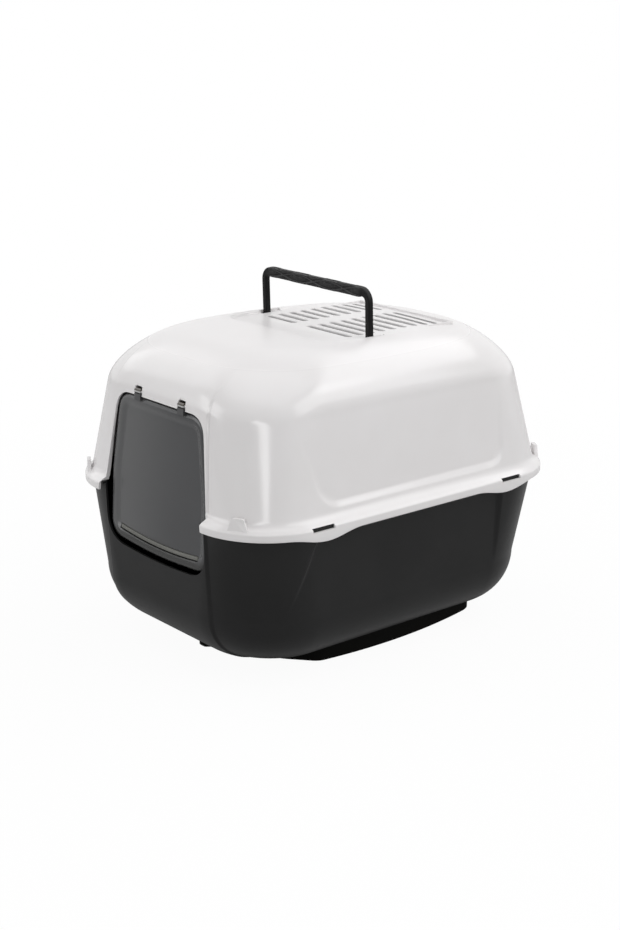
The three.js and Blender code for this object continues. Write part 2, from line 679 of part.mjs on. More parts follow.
// The four lugs on the rim's corners.
function lugs() {
  const centreX = RIM_WIDTH / 2 - RIM_CORNER;
  const centreY = RIM_LENGTH / 2 - RIM_CORNER;
  const outer = LUG_SET_BACK - RIM_CORNER;
  const shape = roundedShape([
    [-LUG_BASE_WIDTH / 2, FLANGE_TOP - FLANGE_FALL + FLANGE_EDGE_ROUND, 0],
    [LUG_BASE_WIDTH / 2, FLANGE_TOP - FLANGE_FALL + FLANGE_EDGE_ROUND, 0],
    [LUG_TOP_WIDTH / 2, LUG_TOP_Z, 1.5],
    [-LUG_TOP_WIDTH / 2, LUG_TOP_Z, 1.5],
  ]);
  const lug = wallPlate(shape, outer, outer + LUG_THICKNESS, 3);
  return sides.flatMap((sx) =>
    sides.map((sy) => {
      const swing = sy < 0 ? sx * (90 - LUG_ANGLE) : 180 - sx * (90 - LUG_ANGLE);
      return lug.rotate([0, 0, swing]).translate([sx * centreX, sy * centreY, 0]);
    }),
  );
}

// Bearing cheeks on both sides of each handle leg, under the roof.
const CHEEK_NEAR = LEG_SIZE / 2 + CHEEK_GAP;
const CHEEK_FAR = CHEEK_NEAR + CHEEK_THICKNESS;
const CHEEK_HALF_LENGTH = EYE_RADIUS + 4;
const CHEEK_BOTTOM = HANDLE_PIVOT_Z - EYE_RADIUS - 2;

function cheeks() {
  const front = HANDLE_Y - CHEEK_HALF_LENGTH;
  const rear = HANDLE_Y + CHEEK_HALF_LENGTH;
  const top = CROWN_Z;
  return sides.flatMap((side) => [
    box(side * HANDLE_X + CHEEK_NEAR, side * HANDLE_X + CHEEK_FAR, front, rear, CHEEK_BOTTOM, top),
    box(side * HANDLE_X - CHEEK_FAR, side * HANDLE_X - CHEEK_NEAR, front, rear, CHEEK_BOTTOM, top),
  ]);
}

function handleCuts() {
  const half = HANDLE_SLOT_WIDTH / 2;
  return sides.flatMap((side) => {
    const x = side * HANDLE_X;
    const bore = PIN_RADIUS + PIN_PLAY;
    return [
      box(x - half, x + half, HANDLE_SLOT_FRONT, HANDLE_SLOT_REAR, CHEEK_BOTTOM - 2, CROWN_Z + 5),
      barX(bore, x - CHEEK_FAR - 1, x + CHEEK_FAR + 1, HANDLE_Y, HANDLE_PIVOT_Z),
    ];
  });
}

// Two ledged rails and a rear stop for the filter holder.
const RAIL_INNER = HOLDER_HALF_WIDTH + RAIL_PLAY;
const RAIL_BOTTOM = HOLDER_BOTTOM_Z - SEAT - RAIL_WEB;
function rails() {
  const top = CROWN_Z;
  const ledgeTop = RAIL_BOTTOM + RAIL_WEB;
  const [front, rear] = [HOLDER_FRONT, HOLDER_REAR + SEAT + RAIL_STOP];
  const webs = sides.flatMap((side) => {
    const span = (a, b) => [Math.min(side * a, side * b), Math.max(side * a, side * b)];
    return [
      box(...span(RAIL_INNER, RAIL_INNER + RAIL_WEB), front, rear, RAIL_BOTTOM, top),
      box(...span(RAIL_INNER - RAIL_LEDGE, RAIL_INNER + 1), front, rear, RAIL_BOTTOM, ledgeTop),
      box(...span(RAIL_INNER - RAIL_LEDGE, RAIL_INNER + 1), rear - RAIL_STOP, rear, RAIL_BOTTOM, top),
    ];
  });
  return webs;
}

function makeHood() {
  const skirt = loft([
    rimLevel(SKIRT_BOTTOM, 0, (x, y) => SKIRT_BOTTOM - lobe(x, y)),
    rimLevel(FLANGE_TOP - FLANGE_FALL, 0),
    rimLevel(FLANGE_TOP - FLANGE_FALL + FLANGE_EDGE_ROUND, FLANGE_EDGE_ROUND * 0.6),
    rimLevel(FLANGE_TOP, FLANGE_FALL_REACH),
  ]);
  const outside = union([
    skirt,
    cut(hoodBody(0, 0, FLANGE_TOP - 1), hoodPanels(0)),
    hoodFrontPanel(0, PANEL_HALF_WIDTH, FLANGE_TOP - 1),
    ...lugs(),
  ]);
  const skirtHollow = loft([
    rimLevel(SKIRT_BOTTOM - 20, SKIRT_THICKNESS),
    rimLevel(FLANGE_UNDERSIDE - FLANGE_CORNER_CHAMFER, SKIRT_THICKNESS),
    rimLevel(FLANGE_UNDERSIDE, SKIRT_THICKNESS + FLANGE_CORNER_CHAMFER),
  ]);
  const roomBottom = FLANGE_UNDERSIDE - 2;
  const room = cut(hoodBody(HOOD_WALL, 0, roomBottom), hoodPanels(HOOD_WALL));
  const panelRoom = hoodFrontPanel(HOOD_WALL, PANEL_HALF_WIDTH - HOOD_WALL, roomBottom);
  const hollow = cut(union([room, panelRoom]), [ventPad()]);
  const inside = union([
    cut(union([hollow, skirtHollow]), [...cheeks(), ...rails()]),
  ]);
  const doorFront = -RIM_LENGTH / 2 - 5;
  const doorBack = -RIM_LENGTH / 2 + 70;
  const pocketHalf = HOOK_WIDTH / 2 + HOOK_SIDE_PLAY;
  const pockets = sides.map((side) =>
    box(
      side * HINGE_X - pocketHalf,
      side * HINGE_X + pocketHalf,
      doorFront,
      doorBack,
      DOOR_TOP - 3,
      POCKET_TOP,
    ),
  );
  const windows = sides.flatMap((side) =>
    snapEnds.map((y) => {
      const [x0, x1] = [side * (RIM_WIDTH / 2 - 8), side * (RIM_WIDTH / 2 + 5)];
      const half = SNAP_LENGTH / 2;
      const bottom = LIP_TOP - SNAP_NOSE_HEIGHT;
      const [left, right] = [Math.min(x0, x1), Math.max(x0, x1)];
      return box(left, right, y - half, y + half, bottom, FLANGE_UNDERSIDE - EPS);
    }),
  );
  const shell = cut(outside, [
    inside,
    ventField(),
    ...ventCuts(),
    ...handleCuts(),
    wallPlate(doorShape(0, FLANGE_TOP - 20), doorFront, doorBack, 8),
    box(-RIM_END_X, RIM_END_X, doorFront, -SHOULDER_FRONT + 10, SKIRT_BOTTOM - 20, FLANGE_TOP + EPS),
    ...pockets,
    ...windows,
  ]);
  const bars = sides.map((side) => {
    const half = pocketHalf + 1.5;
    const x = side * HINGE_X;
    return barX(HINGE_BAR_RADIUS, x - half, x + half, HINGE_Y, HINGE_Z, 16);
  });
  return union([shell, ...bars]);
}

// ---- the flap -----------------------------------------------------------

// The flap's outline, drawn in by inset.
function flapShape(inset) {
  const taper = (DOOR_BASE_HALF_WIDTH - DOOR_HEAD_HALF_WIDTH) / (DOOR_TOP - FLANGE_TOP);
  const halfAt = (z) => DOOR_BASE_HALF_WIDTH - taper * (z - FLANGE_TOP) - FLAP_GAP - inset;
  const waist = DIP_HALF_WIDTH - FLAP_GAP - inset;
  const waistZ = FLANGE_TOP + (DOOR_BASE_HALF_WIDTH - DIP_HALF_WIDTH) / taper;
  const corner = Math.max(FLAP_CORNER - inset, 8);
  return roundedShape([
    [-waist, FLAP_BOTTOM + inset + DIP_SIDE_RISE, corner],
    [0, FLAP_BOTTOM + inset, LOWER_EDGE_ROUND],
    [waist, FLAP_BOTTOM + inset + DIP_SIDE_RISE, corner],
    [waist, waistZ, 0],
    [halfAt(FLAP_TOP - inset), FLAP_TOP - inset, corner],
    [-halfAt(FLAP_TOP - inset), FLAP_TOP - inset, corner],
    [-waist, waistZ, 0],
  ]);
}

function makeFlap() {
  const front = FLAP_FRONT_TOP_Y;
  const rim = wallPlate(flapShape(0), front, front + FLAP_THICKNESS, 6);
  const dishFloor = wallPlate(
    flapShape(FLAP_ROLL_WIDTH - FLAP_THICKNESS),
    front,
    front + FLAP_DISH + FLAP_THICKNESS,
    6,
  );
  const dishHollow = wallPlate(flapShape(FLAP_ROLL_WIDTH), front - 1, front + FLAP_DISH, 6);
  const ribShape = roundedShape([
    [-FLAP_RIB_HALF_LENGTH, FLAP_RIB_Z + FLAP_RIB_RISE, 1],
    [0, FLAP_RIB_Z, LOWER_EDGE_ROUND],
    [FLAP_RIB_HALF_LENGTH, FLAP_RIB_Z + FLAP_RIB_RISE, 1],
    [FLAP_RIB_HALF_LENGTH, FLAP_RIB_Z + FLAP_RIB_RISE + FLAP_RIB_HEIGHT, 1],
    [0, FLAP_RIB_Z + FLAP_RIB_HEIGHT, LOWER_EDGE_ROUND],
    [-FLAP_RIB_HALF_LENGTH, FLAP_RIB_Z + FLAP_RIB_RISE + FLAP_RIB_HEIGHT, 1],
  ]);
  const rib = wallPlate(ribShape, front - FLAP_RIB_PROUD, front + FLAP_DISH + 1, 6);
  const panel = union([cut(union([rim, dishFloor]), [dishHollow]), rib]);
  const leant = panel
    .translate([0, -HINGE_Y, -HINGE_Z])
    .rotate([-FLAP_LEAN, 0, 0])
    .translate([0, HINGE_Y, HINGE_Z]);
  const inner = HINGE_BAR_RADIUS + HOOK_PLAY;
  const outer = inner + HOOK_WALL;
  const hooks = sides.map((side) => {
    const x0 = side * HINGE_X - HOOK_WIDTH / 2;
    const x1 = side * HINGE_X + HOOK_WIDTH / 2;
    const neckTop = HINGE_Z - inner - 0.6;
    const neck = box(x0, x1, HINGE_Y - outer + 0.2, HINGE_Y + 0.4, FLAP_TOP - 3, neckTop);
    const ring = barX(outer, x0, x1, HINGE_Y, HINGE_Z, 20);
    const bore = barX(inner, x0 - 1, x1 + 1, HINGE_Y, HINGE_Z, 16);
    const mouth = box(x0 - 1, x1 + 1, HINGE_Y, HINGE_Y + 20, HINGE_Z - inner * 0.6, HINGE_Z + inner * 0.2);
    return cut(union([ring, neck]), [bore, mouth]);
  });
  return union([leant, ...hooks]);
}

// ---- the handle ---------------------------------------------------------

// A bar along the bail's path with a rounded-square section that grows into the grip.
function makeHandle() {
  const path = [];
  const top = HANDLE_GRIP_Z;
  const bottom = HANDLE_PIVOT_Z;
  const legX = HANDLE_X;
  const arcSteps = 6;
  const station = (x, z, angle, grip) => path.push({ x, z, angle, grip });
  station(-legX, bottom, 90, 0);
  for (let i = 0; i <= arcSteps; i++) {
    const a = 180 - (90 * i) / arcSteps;
    const rad = THREE.MathUtils.degToRad(a);
    const x = -legX + BAIL_CORNER + BAIL_CORNER * Math.cos(rad);
    const z = top - BAIL_CORNER + BAIL_CORNER * Math.sin(rad);
    station(x, z, a - 90, i / arcSteps);
  }
  for (let i = 0; i <= arcSteps; i++) {
    const a = 90 - (90 * i) / arcSteps;
    const rad = THREE.MathUtils.degToRad(a);
    const x = legX - BAIL_CORNER + BAIL_CORNER * Math.cos(rad);
    const z = top - BAIL_CORNER + BAIL_CORNER * Math.sin(rad);
    station(x, z, a - 90, 1 - i / arcSteps);
  }
  station(legX, bottom, -90, 0);
  const round = 0.28;
  const sectionSteps = 3;
  const section = (wide, deep) => {
    const r = round * Math.min(wide, deep);
    const points = [];
    [
      [1, 1, 0],
      [-1, 1, 90],
      [-1, -1, 180],
      [1, -1, 270],
    ].forEach(([sx, sy, start]) => {
      for (let i = 0; i <= sectionSteps; i++) {
        const a = THREE.MathUtils.degToRad(start + (90 * i) / sectionSteps);
        const u = sx * (wide / 2 - r) + r * Math.cos(a);
        const v = sy * (deep / 2 - r) + r * Math.sin(a);
        points.push([u, v]);
      }
    });
    return points;
  };
  const rings = path.map(({ x, z, angle, grip }) => {
    const wide = mix(LEG_SIZE, GRIP_HEIGHT, grip);
    const deep = mix(LEG_SIZE, GRIP_DEPTH, grip);
    const rad = THREE.MathUtils.degToRad(angle);
    const normal = [-Math.sin(rad), Math.cos(rad)];
    return section(wide, deep).map(([u, v]) => [x + u * normal[0], v, z + u * normal[1]]);
  });
  const bar = loft(rings.reverse());
  const pivots = sides.map((side) => {
    const x = side * HANDLE_X;
    const eye = barX(EYE_RADIUS, x - LEG_SIZE / 2, x + LEG_SIZE / 2, 0, HANDLE_PIVOT_Z, 20);
    const pin = barX(PIN_RADIUS, x - CHEEK_FAR, x + CHEEK_FAR, 0, HANDLE_PIVOT_Z, 16);
    return eye.add(pin);
  });
  return union([bar, ...pivots])
    .translate([0, 0, -HANDLE_PIVOT_Z])
    .rotate([HANDLE_LEAN, 0, 0])
    .translate([0, HANDLE_Y, HANDLE_PIVOT_Z]);
}

// ---- the filter ---------------------------------------------------------

function makeHolder() {
  const w = HOLDER_HALF_WIDTH;
  const z0 = HOLDER_BOTTOM_Z;
  const z1 = HOLDER_BOTTOM_Z + HOLDER_HEIGHT;
  const tray = cut(box(-w, w, HOLDER_FRONT, HOLDER_REAR, z0, z1), [
    box(
      -w + HOLDER_WALL,
      w - HOLDER_WALL,
      HOLDER_FRONT + HOLDER_WALL,
      HOLDER_REAR - HOLDER_WALL,
      z0 + HOLDER_FLOOR,
      z1 + 1,
    ),
  ]);
  const slots = [];
  const pitch = (HOLDER_REAR - HOLDER_FRONT - 2 * HOLDER_SLOT_MARGIN) / (HOLDER_SLOTS - 1);
  for (let i = 0; i < HOLDER_SLOTS; i++) {
    const y = HOLDER_FRONT + HOLDER_SLOT_MARGIN + i * pitch;
    const x = w - HOLDER_SLOT_MARGIN;
    slots.push(slotX(-x, -HOLDER_SPINE_HALF_WIDTH, y, HOLDER_SLOT_WIDTH, z0 - 1, z0 + HOLDER_FLOOR + 1));
    slots.push(slotX(HOLDER_SPINE_HALF_WIDTH, x, y, HOLDER_SLOT_WIDTH, z0 - 1, z0 + HOLDER_FLOOR + 1));
  }
  const pull = box(
    -HOLDER_TAB_HALF_WIDTH,
    HOLDER_TAB_HALF_WIDTH,
    HOLDER_FRONT - HOLDER_TAB_REACH,
    HOLDER_FRONT + 1,
    z0,
    z0 + HOLDER_FLOOR,
  );
  return cut(union([tray, pull]), slots);
}

function makeFilter() {
  const inset = HOLDER_WALL + FILTER_PLAY;
  const z0 = HOLDER_BOTTOM_Z + HOLDER_FLOOR + SEAT;
  return box(
    -HOLDER_HALF_WIDTH + inset,
    HOLDER_HALF_WIDTH - inset,
    HOLDER_FRONT + inset,
    HOLDER_REAR - inset,
    z0,
    z0 + FILTER_THICKNESS,
  );
}

// ---- assembly -----------------------------------------------------------

const material = (color, roughness, extra = {}) =>
  new THREE.MeshStandardMaterial({ color, roughness, metalness: 0, ...extra });

function node(name, body, look) {
  const mesh = body.getMesh();
  const geometry = new THREE.BufferGeometry();
  geometry.setAttribute("position", new THREE.BufferAttribute(mesh.vertProperties, 3));
  geometry.setIndex(new THREE.BufferAttribute(mesh.triVerts, 1));
  geometry.computeVertexNormals();
  const made = new THREE.Mesh(geometry, look);
  made.name = name;
  return made;
}

const box_and_hood = new THREE.Group();
box_and_hood.name = "cat_litter_box";
box_and_hood.add(
  node("base_tray", makeTub(), material(0x2b2c2e, 0.45)),
  node("hood", makeHood(), material(0xf1f1f0, 0.28)),
  node("door_flap", makeFlap(), material(0x5a5c60, 0.2, { transparent: true, opacity: 0.8 })),
  node("carry_handle", makeHandle(), material(0x1c1d1f, 0.5)),
  node("filter_holder", makeHolder(), material(0xd9d9d7, 0.5)),
  node("charcoal_filter", makeFilter(), material(0x1a1a1a, 0.95)),
);

export default box_and_hood;
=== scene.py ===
import math

import bpy
import numpy as np
from mathutils import Matrix, Quaternion, Vector


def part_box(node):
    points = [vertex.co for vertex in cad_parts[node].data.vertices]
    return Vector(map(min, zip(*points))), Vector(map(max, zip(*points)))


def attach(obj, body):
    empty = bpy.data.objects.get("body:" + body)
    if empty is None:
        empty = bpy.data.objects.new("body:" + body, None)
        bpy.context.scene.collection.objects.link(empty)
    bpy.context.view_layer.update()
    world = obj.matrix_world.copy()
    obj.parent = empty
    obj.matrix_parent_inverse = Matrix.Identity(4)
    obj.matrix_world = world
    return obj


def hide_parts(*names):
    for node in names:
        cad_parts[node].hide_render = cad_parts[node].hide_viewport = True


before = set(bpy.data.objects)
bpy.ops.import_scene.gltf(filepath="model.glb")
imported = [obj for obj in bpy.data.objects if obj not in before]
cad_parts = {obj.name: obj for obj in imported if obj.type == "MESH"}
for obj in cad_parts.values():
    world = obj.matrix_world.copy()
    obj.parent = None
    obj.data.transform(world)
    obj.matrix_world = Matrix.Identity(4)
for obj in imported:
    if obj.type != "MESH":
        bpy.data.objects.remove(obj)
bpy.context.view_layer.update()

# ---- Camera, floor and light ---------------------------------------------------------------
# A pale sweep to stand the box on, wide soft lights above it, behind it, to its right and on the
# doorway's side, and a narrow leaning one that draws a bright line down the near corner.

CAMERA_AT = Vector((1.5246, -1.3065, 0.8038))
CAMERA_AIM = Vector((-0.0028, -0.0070, 0.1976))
CAMERA_ROLL = 0.54
CAMERA_LENS = 64.65
LIGHTS_AIM = Vector((0, 0, 0.25))
FLOOR_SIZE = 12.0
FLOOR_DROP = 0.0005
FLOOR_FADE = (0.3, 1.4)
FLOOR_SHOWN_WHITE = 0.95
FLOOR_IN_GLOSS = 0.25
FLOOR_COLOR = (0.6, 0.6, 0.6, 1)
SKY_FILL = 0.27


def aimed(holder, at, target, roll):
    """Puts a camera or lamp at a place, looking at the target and rolled by some degrees."""
    holder.location = at
    holder.rotation_mode = "QUATERNION"
    turned = (target - Vector(at)).to_track_quat("-Z", "Y")
    holder.rotation_quaternion = turned @ Quaternion((0, 0, 1), math.radians(roll))
    bpy.context.scene.collection.objects.link(holder)


camera = bpy.data.objects.new("camera", bpy.data.cameras.new("camera"))
camera.data.lens = CAMERA_LENS
camera.data.clip_end = 50
aimed(camera, CAMERA_AT, CAMERA_AIM, CAMERA_ROLL)
bpy.context.scene.camera = camera
bpy.context.scene.view_settings.view_transform = "Standard"


class Wire:
    """An output socket of a material. Sums on it add Math nodes."""

    def __init__(self, finish, socket):
        self.finish = finish
        self.socket = socket

    def sum(self, operation, *terms):
        return self.finish.add("ShaderNodeMath", {"operation": operation}, dict(enumerate(terms)))

    def __add__(self, other):
        return self.sum("ADD", self, other)

    def __sub__(self, other):
        return self.sum("SUBTRACT", self, other)

    def __mul__(self, other):
        return self.sum("MULTIPLY", self, other)

    def __truediv__(self, other):
        return self.sum("DIVIDE", self, other)

    __radd__ = __add__

    def clamped(self, low, high):
        """0 at low, 1 at high, eased between them."""
        settings = {"interpolation_type": "SMOOTHSTEP"}
        return self.finish.add("ShaderNodeMapRange", settings, {0: self, 1: low, 2: high})

    def size(self):
        return self.sum("ABSOLUTE", self)


class Finish:
    """A material or world under construction."""

    def __init__(self, holder):
        self.holder = holder
        holder.use_nodes = True
        self.tree = holder.node_tree
        self.tree.nodes.clear()

    def add(self, kind, settings=None, sockets=None, out=0):
        node = self.tree.nodes.new(kind)
        for name, value in (settings or {}).items():
            setattr(node, name, value)
        for key, value in (sockets or {}).items():
            if isinstance(value, Wire):
                self.tree.links.new(value.socket, node.inputs[key])
            else:
                node.inputs[key].default_value = value
        return Wire(self, node.outputs[out]) if node.outputs else node

    def outputs(self, kind, names, sockets=None):
        """A node's named outputs as wires."""
        node = self.add(kind, None, sockets).socket.node
        return [Wire(self, node.outputs[name]) for name in names]

    def split(self, where):
        return self.outputs("ShaderNodeSeparateXYZ", "XYZ", {0: where})

    def rays(self):
        """Whether a ray is the camera's own, mirrored, or passed through something clear."""
        kinds = ("Is Camera Ray", "Is Glossy Ray", "Is Transmission Ray")
        return self.outputs("ShaderNodeLightPath", kinds)

    def noise(self, where, scale, detail=2.0):
        return self.add("ShaderNodeTexNoise", None, {"Vector": where, "Scale": scale, "Detail": detail})

    def blend(self, factor, first, second):
        settings = {"data_type": "RGBA"}
        node = self.add("ShaderNodeMix", settings, {0: factor, 6: first, 7: second}).socket.node
        return Wire(self, node.outputs[2])

    def bump(self, height, distance, strength):
        sockets = {"Height": height, "Distance": distance, "Strength": strength}
        return self.add("ShaderNodeBump", None, sockets)

    def plastic(self, sockets):
        return self.add("ShaderNodeBsdfPrincipled", None, sockets)

    def done(self, surface, kind="ShaderNodeOutputMaterial"):
        self.add(kind, None, {"Surface": surface})
        return self.holder


def new_finish(name):
    """A new material, and a wire with its object coordinates in metres."""
    finish = Finish(bpy.data.materials.new(name))
    return finish, finish.add("ShaderNodeTexCoord", out="Object")


floor_finish, where = new_finish("studio_floor")
seen, mirrored, passed = floor_finish.rays()
x, y, _ = floor_finish.split(where)
far = (x * x + y * y).clamped(*FLOOR_FADE)
lifted = FLOOR_SHOWN_WHITE + far * (1 - FLOOR_SHOWN_WHITE)
direct = seen.sum("MAXIMUM", seen, passed) * lifted
shown = seen.sum("MAXIMUM", direct, mirrored * FLOOR_IN_GLOSS)
floor_color = floor_finish.blend(seen, FLOOR_COLOR, (0.97, 0.97, 0.97, 1))
matte = floor_finish.add("ShaderNodeBsdfDiffuse", None, {"Color": floor_color})
white = floor_finish.add("ShaderNodeEmission", None, {"Color": (1, 1, 1, 1), "Strength": 1.0})
lit_white = floor_finish.add("ShaderNodeMixShader", None, {0: shown, 1: matte, 2: white})
floor_finish.done(lit_white)


def add_object(name, points, faces):
    mesh = bpy.data.meshes.new(name)
    mesh.from_pydata(np.asarray(points).tolist(), [], faces)
    mesh.update()
    made = bpy.data.objects.new(name, mesh)
    bpy.context.scene.collection.objects.link(made)
    return made


half = FLOOR_SIZE / 2
corners = [(x, y, -FLOOR_DROP) for x, y in ((-half, -half), (half, -half), (half, half), (-half, half))]
floor = add_object("studio_floor", corners, [(0, 1, 2, 3)])
floor.data.materials.append(floor_finish.holder)

sky = Finish(bpy.data.worlds.new("studio"))
bpy.context.scene.world = sky.holder
seen, mirrored, passed = sky.rays()
shown = seen.sum("MAXIMUM", seen.sum("MAXIMUM", seen, passed), mirrored)
fill = sky.add("ShaderNodeBackground", None, {"Color": (1, 1, 1, 1), "Strength": SKY_FILL})
white = sky.add("ShaderNodeBackground", None, {"Color": (1, 1, 1, 1), "Strength": 1.0})
sky.done(sky.add("ShaderNodeMixShader", None, {0: shown, 1: fill, 2: white}), "ShaderNodeOutputWorld")


def soft_light(name, at, width, height, watts, roll=0.0):
    lamp = bpy.data.lights.new(name, "AREA")
    lamp.shape = "RECTANGLE"
    lamp.size = width
    lamp.size_y = height
    lamp.energy = watts
    aimed(bpy.data.objects.new(name, lamp), at, LIGHTS_AIM, roll)


soft_light("overhead", (0.1, -0.2, 2.2), 2.0, 1.6, 8.5)
soft_light("rear_top", (0.35, 1.6, 2.1), 2.8, 1.0, 19.5)
soft_light("right_big", (2.3, 1.15, 1.9), 2.2, 2.0, 29)
soft_light("left_high", (-1.8, -0.4, 1.7), 1.6, 1.6, 10.5)
soft_light("left_front", (-1.2, -2.1, 1.0), 1.4, 1.4, 15.5)
soft_light("corner_strip", (1.70, -1.70, 0.75), 0.40, 1.15, 8.5, roll=50)

# ---- Tub -----------------------------------------------------------------------------------
# The charcoal tub: one satin polypropylene moulding on a bowed plinth. The front panel stands
# proud and dips for the doorway, and the long sides are pressed in beside the rim.

MM = 0.001
hood_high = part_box("hood")[1]
RIM_SIDE = hood_high.x
RIM_END = hood_high.y
LIP_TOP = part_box("base_tray")[1].z
LIP_THICKNESS = 3 * MM
LIP_REACH = 4.1 * MM
TUB_WALL = 2.8 * MM
TUB_TOP = (RIM_SIDE - 9 * MM, RIM_END - 9.5 * MM, RIM_END - 11 * MM, 84 * MM)
TUB_BEND = (TUB_TOP[0] - 10 * MM, TUB_TOP[1] - 5.5 * MM, TUB_TOP[2] - 11 * MM, 100 * MM)
TUB_FLOOR = (TUB_BEND[0] - 65 * MM, TUB_BEND[1] - 72 * MM, TUB_BEND[2] - 48 * MM, 52 * MM)
TUB_BEND_Z = 84 * MM
TUB_FLOOR_Z = 17 * MM
TUB_FRONT_EDGE = 100 * MM
FRONT_PROUD = 2.5 * MM
FRONT_UNDERHANG = 1 * MM
TUB_PRESS_DEPTH = 5.2 * MM
TUB_PRESS_TOP = 185 * MM
TUB_PRESS_FOOT = 88 * MM
TUB_PRESS_FRONT = ((92 * MM, -186 * MM), (TUB_PRESS_TOP, -153 * MM))
TUB_PRESS_REAR = 141 * MM
TUB_PRESS_CORNER = 11 * MM
TUB_SIDE_FROM = 140 * MM
PLINTH_TOP = 23 * MM
DIP_SIDE = 98 * MM
DIP_BOTTOM = 123.6 * MM
DIP_RISE = 6 * MM
DIP_CORNER = 36 * MM
LOWER_BEND = 700 * MM
SNAP_AT = (-155 * MM, 147 * MM)
SNAP_HALF_LENGTH = 16 * MM
SNAP_HEIGHT = 4.6 * MM
SNAP_PLAY = 0.5 * MM


def eased(low, high, value):
    """0 at low, 1 at high, with a smooth climb between."""
    t = np.clip((value - low) / (high - low), 0, 1)
    return t * t * (3 - 2 * t)


def spread(start, stop, steps):
    return start + (stop - start) * np.arange(steps) / steps


def mixed(a, b, share):
    return tuple(p + (q - p) * share for p, q in zip(a, b))


def grown(sizes, reach):
    return tuple(size + reach for size in sizes)


FRONT_CREASE = np.array([-3.4, -2.0, -1.0, -0.3, 0.3, 1.0, 2.0, 3.4]) * MM
SIDE_CREASE = np.array([-7, -4.6, -2.8, -1, 1, 2.8, 4.6, 7]) * MM


def plan_ring(sizes, front_edge, press_front, press_rear):
    """A level's outline as four runs of points that meet half-way round each corner.

    sizes are its half width, front, rear and corner radius. The columns crowd beside the front
    panel's edge and beside both ends of the pressed side panel.
    """
    side, front, rear, corner = sizes
    corner = min(corner, side - MM, (front + rear) / 2 - MM)
    diagonal = corner * (1 - math.sqrt(0.5))
    side_x = side - diagonal
    edge = min(front_edge, 0.9 * side_x)
    half = np.concatenate([
        spread(0, edge - 5 * MM, 34),
        edge + FRONT_CREASE,
        spread(edge + 5 * MM, side_x, 17),
        [side_x],
    ])
    x = np.concatenate([-half[:0:-1], half])
    past = np.maximum(np.abs(x) - (side - corner), 0)
    sunk = corner - np.sqrt(np.maximum(corner**2 - past**2, 0))
    low_y = -front + diagonal
    high_y = rear - diagonal
    press_front = max(press_front, low_y + 11 * MM)
    press_rear = min(press_rear, high_y - 11 * MM)
    y = np.concatenate([
        spread(low_y, press_front - 9 * MM, 15),
        press_front + SIDE_CREASE,
        spread(press_front + 9 * MM, press_rear - 9 * MM, 70),
        press_rear + SIDE_CREASE,
        spread(press_rear + 9 * MM, high_y, 15),
        [high_y],
    ])
    past = np.maximum(np.maximum(-(front - corner) - y, y - (rear - corner)), 0)
    side_line = side - corner + np.sqrt(np.maximum(corner**2 - past**2, 0))
    return {
        "front": np.column_stack([x, sunk - front]),
        "right": np.column_stack([side_line, y]),
        "rear": np.column_stack([x, rear - sunk]),
        "left": np.column_stack([-side_line, y]),
    }


def tube_faces(count, levels, start=0, flipped=False):
    """The faces of a closed tube through rings of count points: its two ends, then its wall."""
    around = start + np.arange(count)
    beside = start + (np.arange(count) + 1) % count
    last = (levels - 1) * count
    ends = [around, last + around[::-1]] if flipped else [around[::-1], last + around]
    faces = [end.tolist() for end in ends]
    for low in range(0, last, count):
        a, b = around + low, beside + low
        quads = [a, a + count, b + count, b] if flipped else [a, b, b + count, a + count]
        faces += np.column_stack(quads).tolist()
    return faces


def tube(name, rings, flipped=False):
    return add_object(name, np.concatenate(rings), tube_faces(len(rings[0]), len(rings), 0, flipped))


def stacked_body(name, levels, shape, netted=False):
    """A closed body from levels, first to last, each a plan and a height.

    shape moves the points to their pressed and raised places. A netted body closes over its
    last level with quads, and any other with one flat face.
    """
    rings = []
    for plan, height in levels:
        runs = [plan["right"][:-1], plan["rear"][:0:-1], plan["left"][:0:-1], plan["front"][:-1]]
        run = np.concatenate(runs)
        z = height(run[:, 0], run[:, 1]) if callable(height) else np.full(len(run), height)
        rings.append(np.column_stack([run, z]))
    count = len(rings[0])
    points = np.concatenate(rings)
    faces = tube_faces(count, len(rings))
    if not netted:
        return add_object(name, shape(points), faces)
    faces.pop(1)
    last = len(points) - count
    plan, height = levels[-1]
    columns = len(plan["front"])
    rows = len(plan["right"])
    u = np.linspace(0, 1, columns)[None, :, None]
    v = np.linspace(0, 1, rows)[:, None, None]
    front, rear = plan["front"], plan["rear"]
    bent = (1 - v) * front[None] + v * rear[None]
    bent = bent + (1 - u) * plan["left"][:, None] + u * plan["right"][:, None]
    flat = (1 - v) * ((1 - u) * front[0] + u * front[-1]) + v * ((1 - u) * rear[0] + u * rear[-1])
    inner = (bent - flat)[1:-1, 1:-1].reshape(-1, 2)
    number = np.zeros((rows, columns), int)
    number[1:-1, 1:-1] = (len(points) + np.arange(len(inner))).reshape(rows - 2, columns - 2)
    number[:, -1] = last + np.arange(rows)
    number[-1, ::-1] = last + rows - 1 + np.arange(columns)
    number[::-1, 0] = last + rows + columns - 2 + np.arange(rows)
    number[0] = last + (2 * rows + columns - 3 + np.arange(columns)) % count
    net = np.stack([number[:-1, :-1], number[:-1, 1:], number[1:, 1:], number[1:, :-1]], -1)
    faces += net.reshape(-1, 4).tolist()
    inner = np.column_stack([inner, height(inner[:, 0], inner[:, 1])])
    return add_object(name, shape(np.concatenate([points, inner])), faces)


def inside_corner(first, second, radius):
    """How far a point lies inside two edges that meet in a rounded corner."""
    short = np.hypot(np.maximum(radius - first, 0), np.maximum(radius - second, 0))
    return radius - short


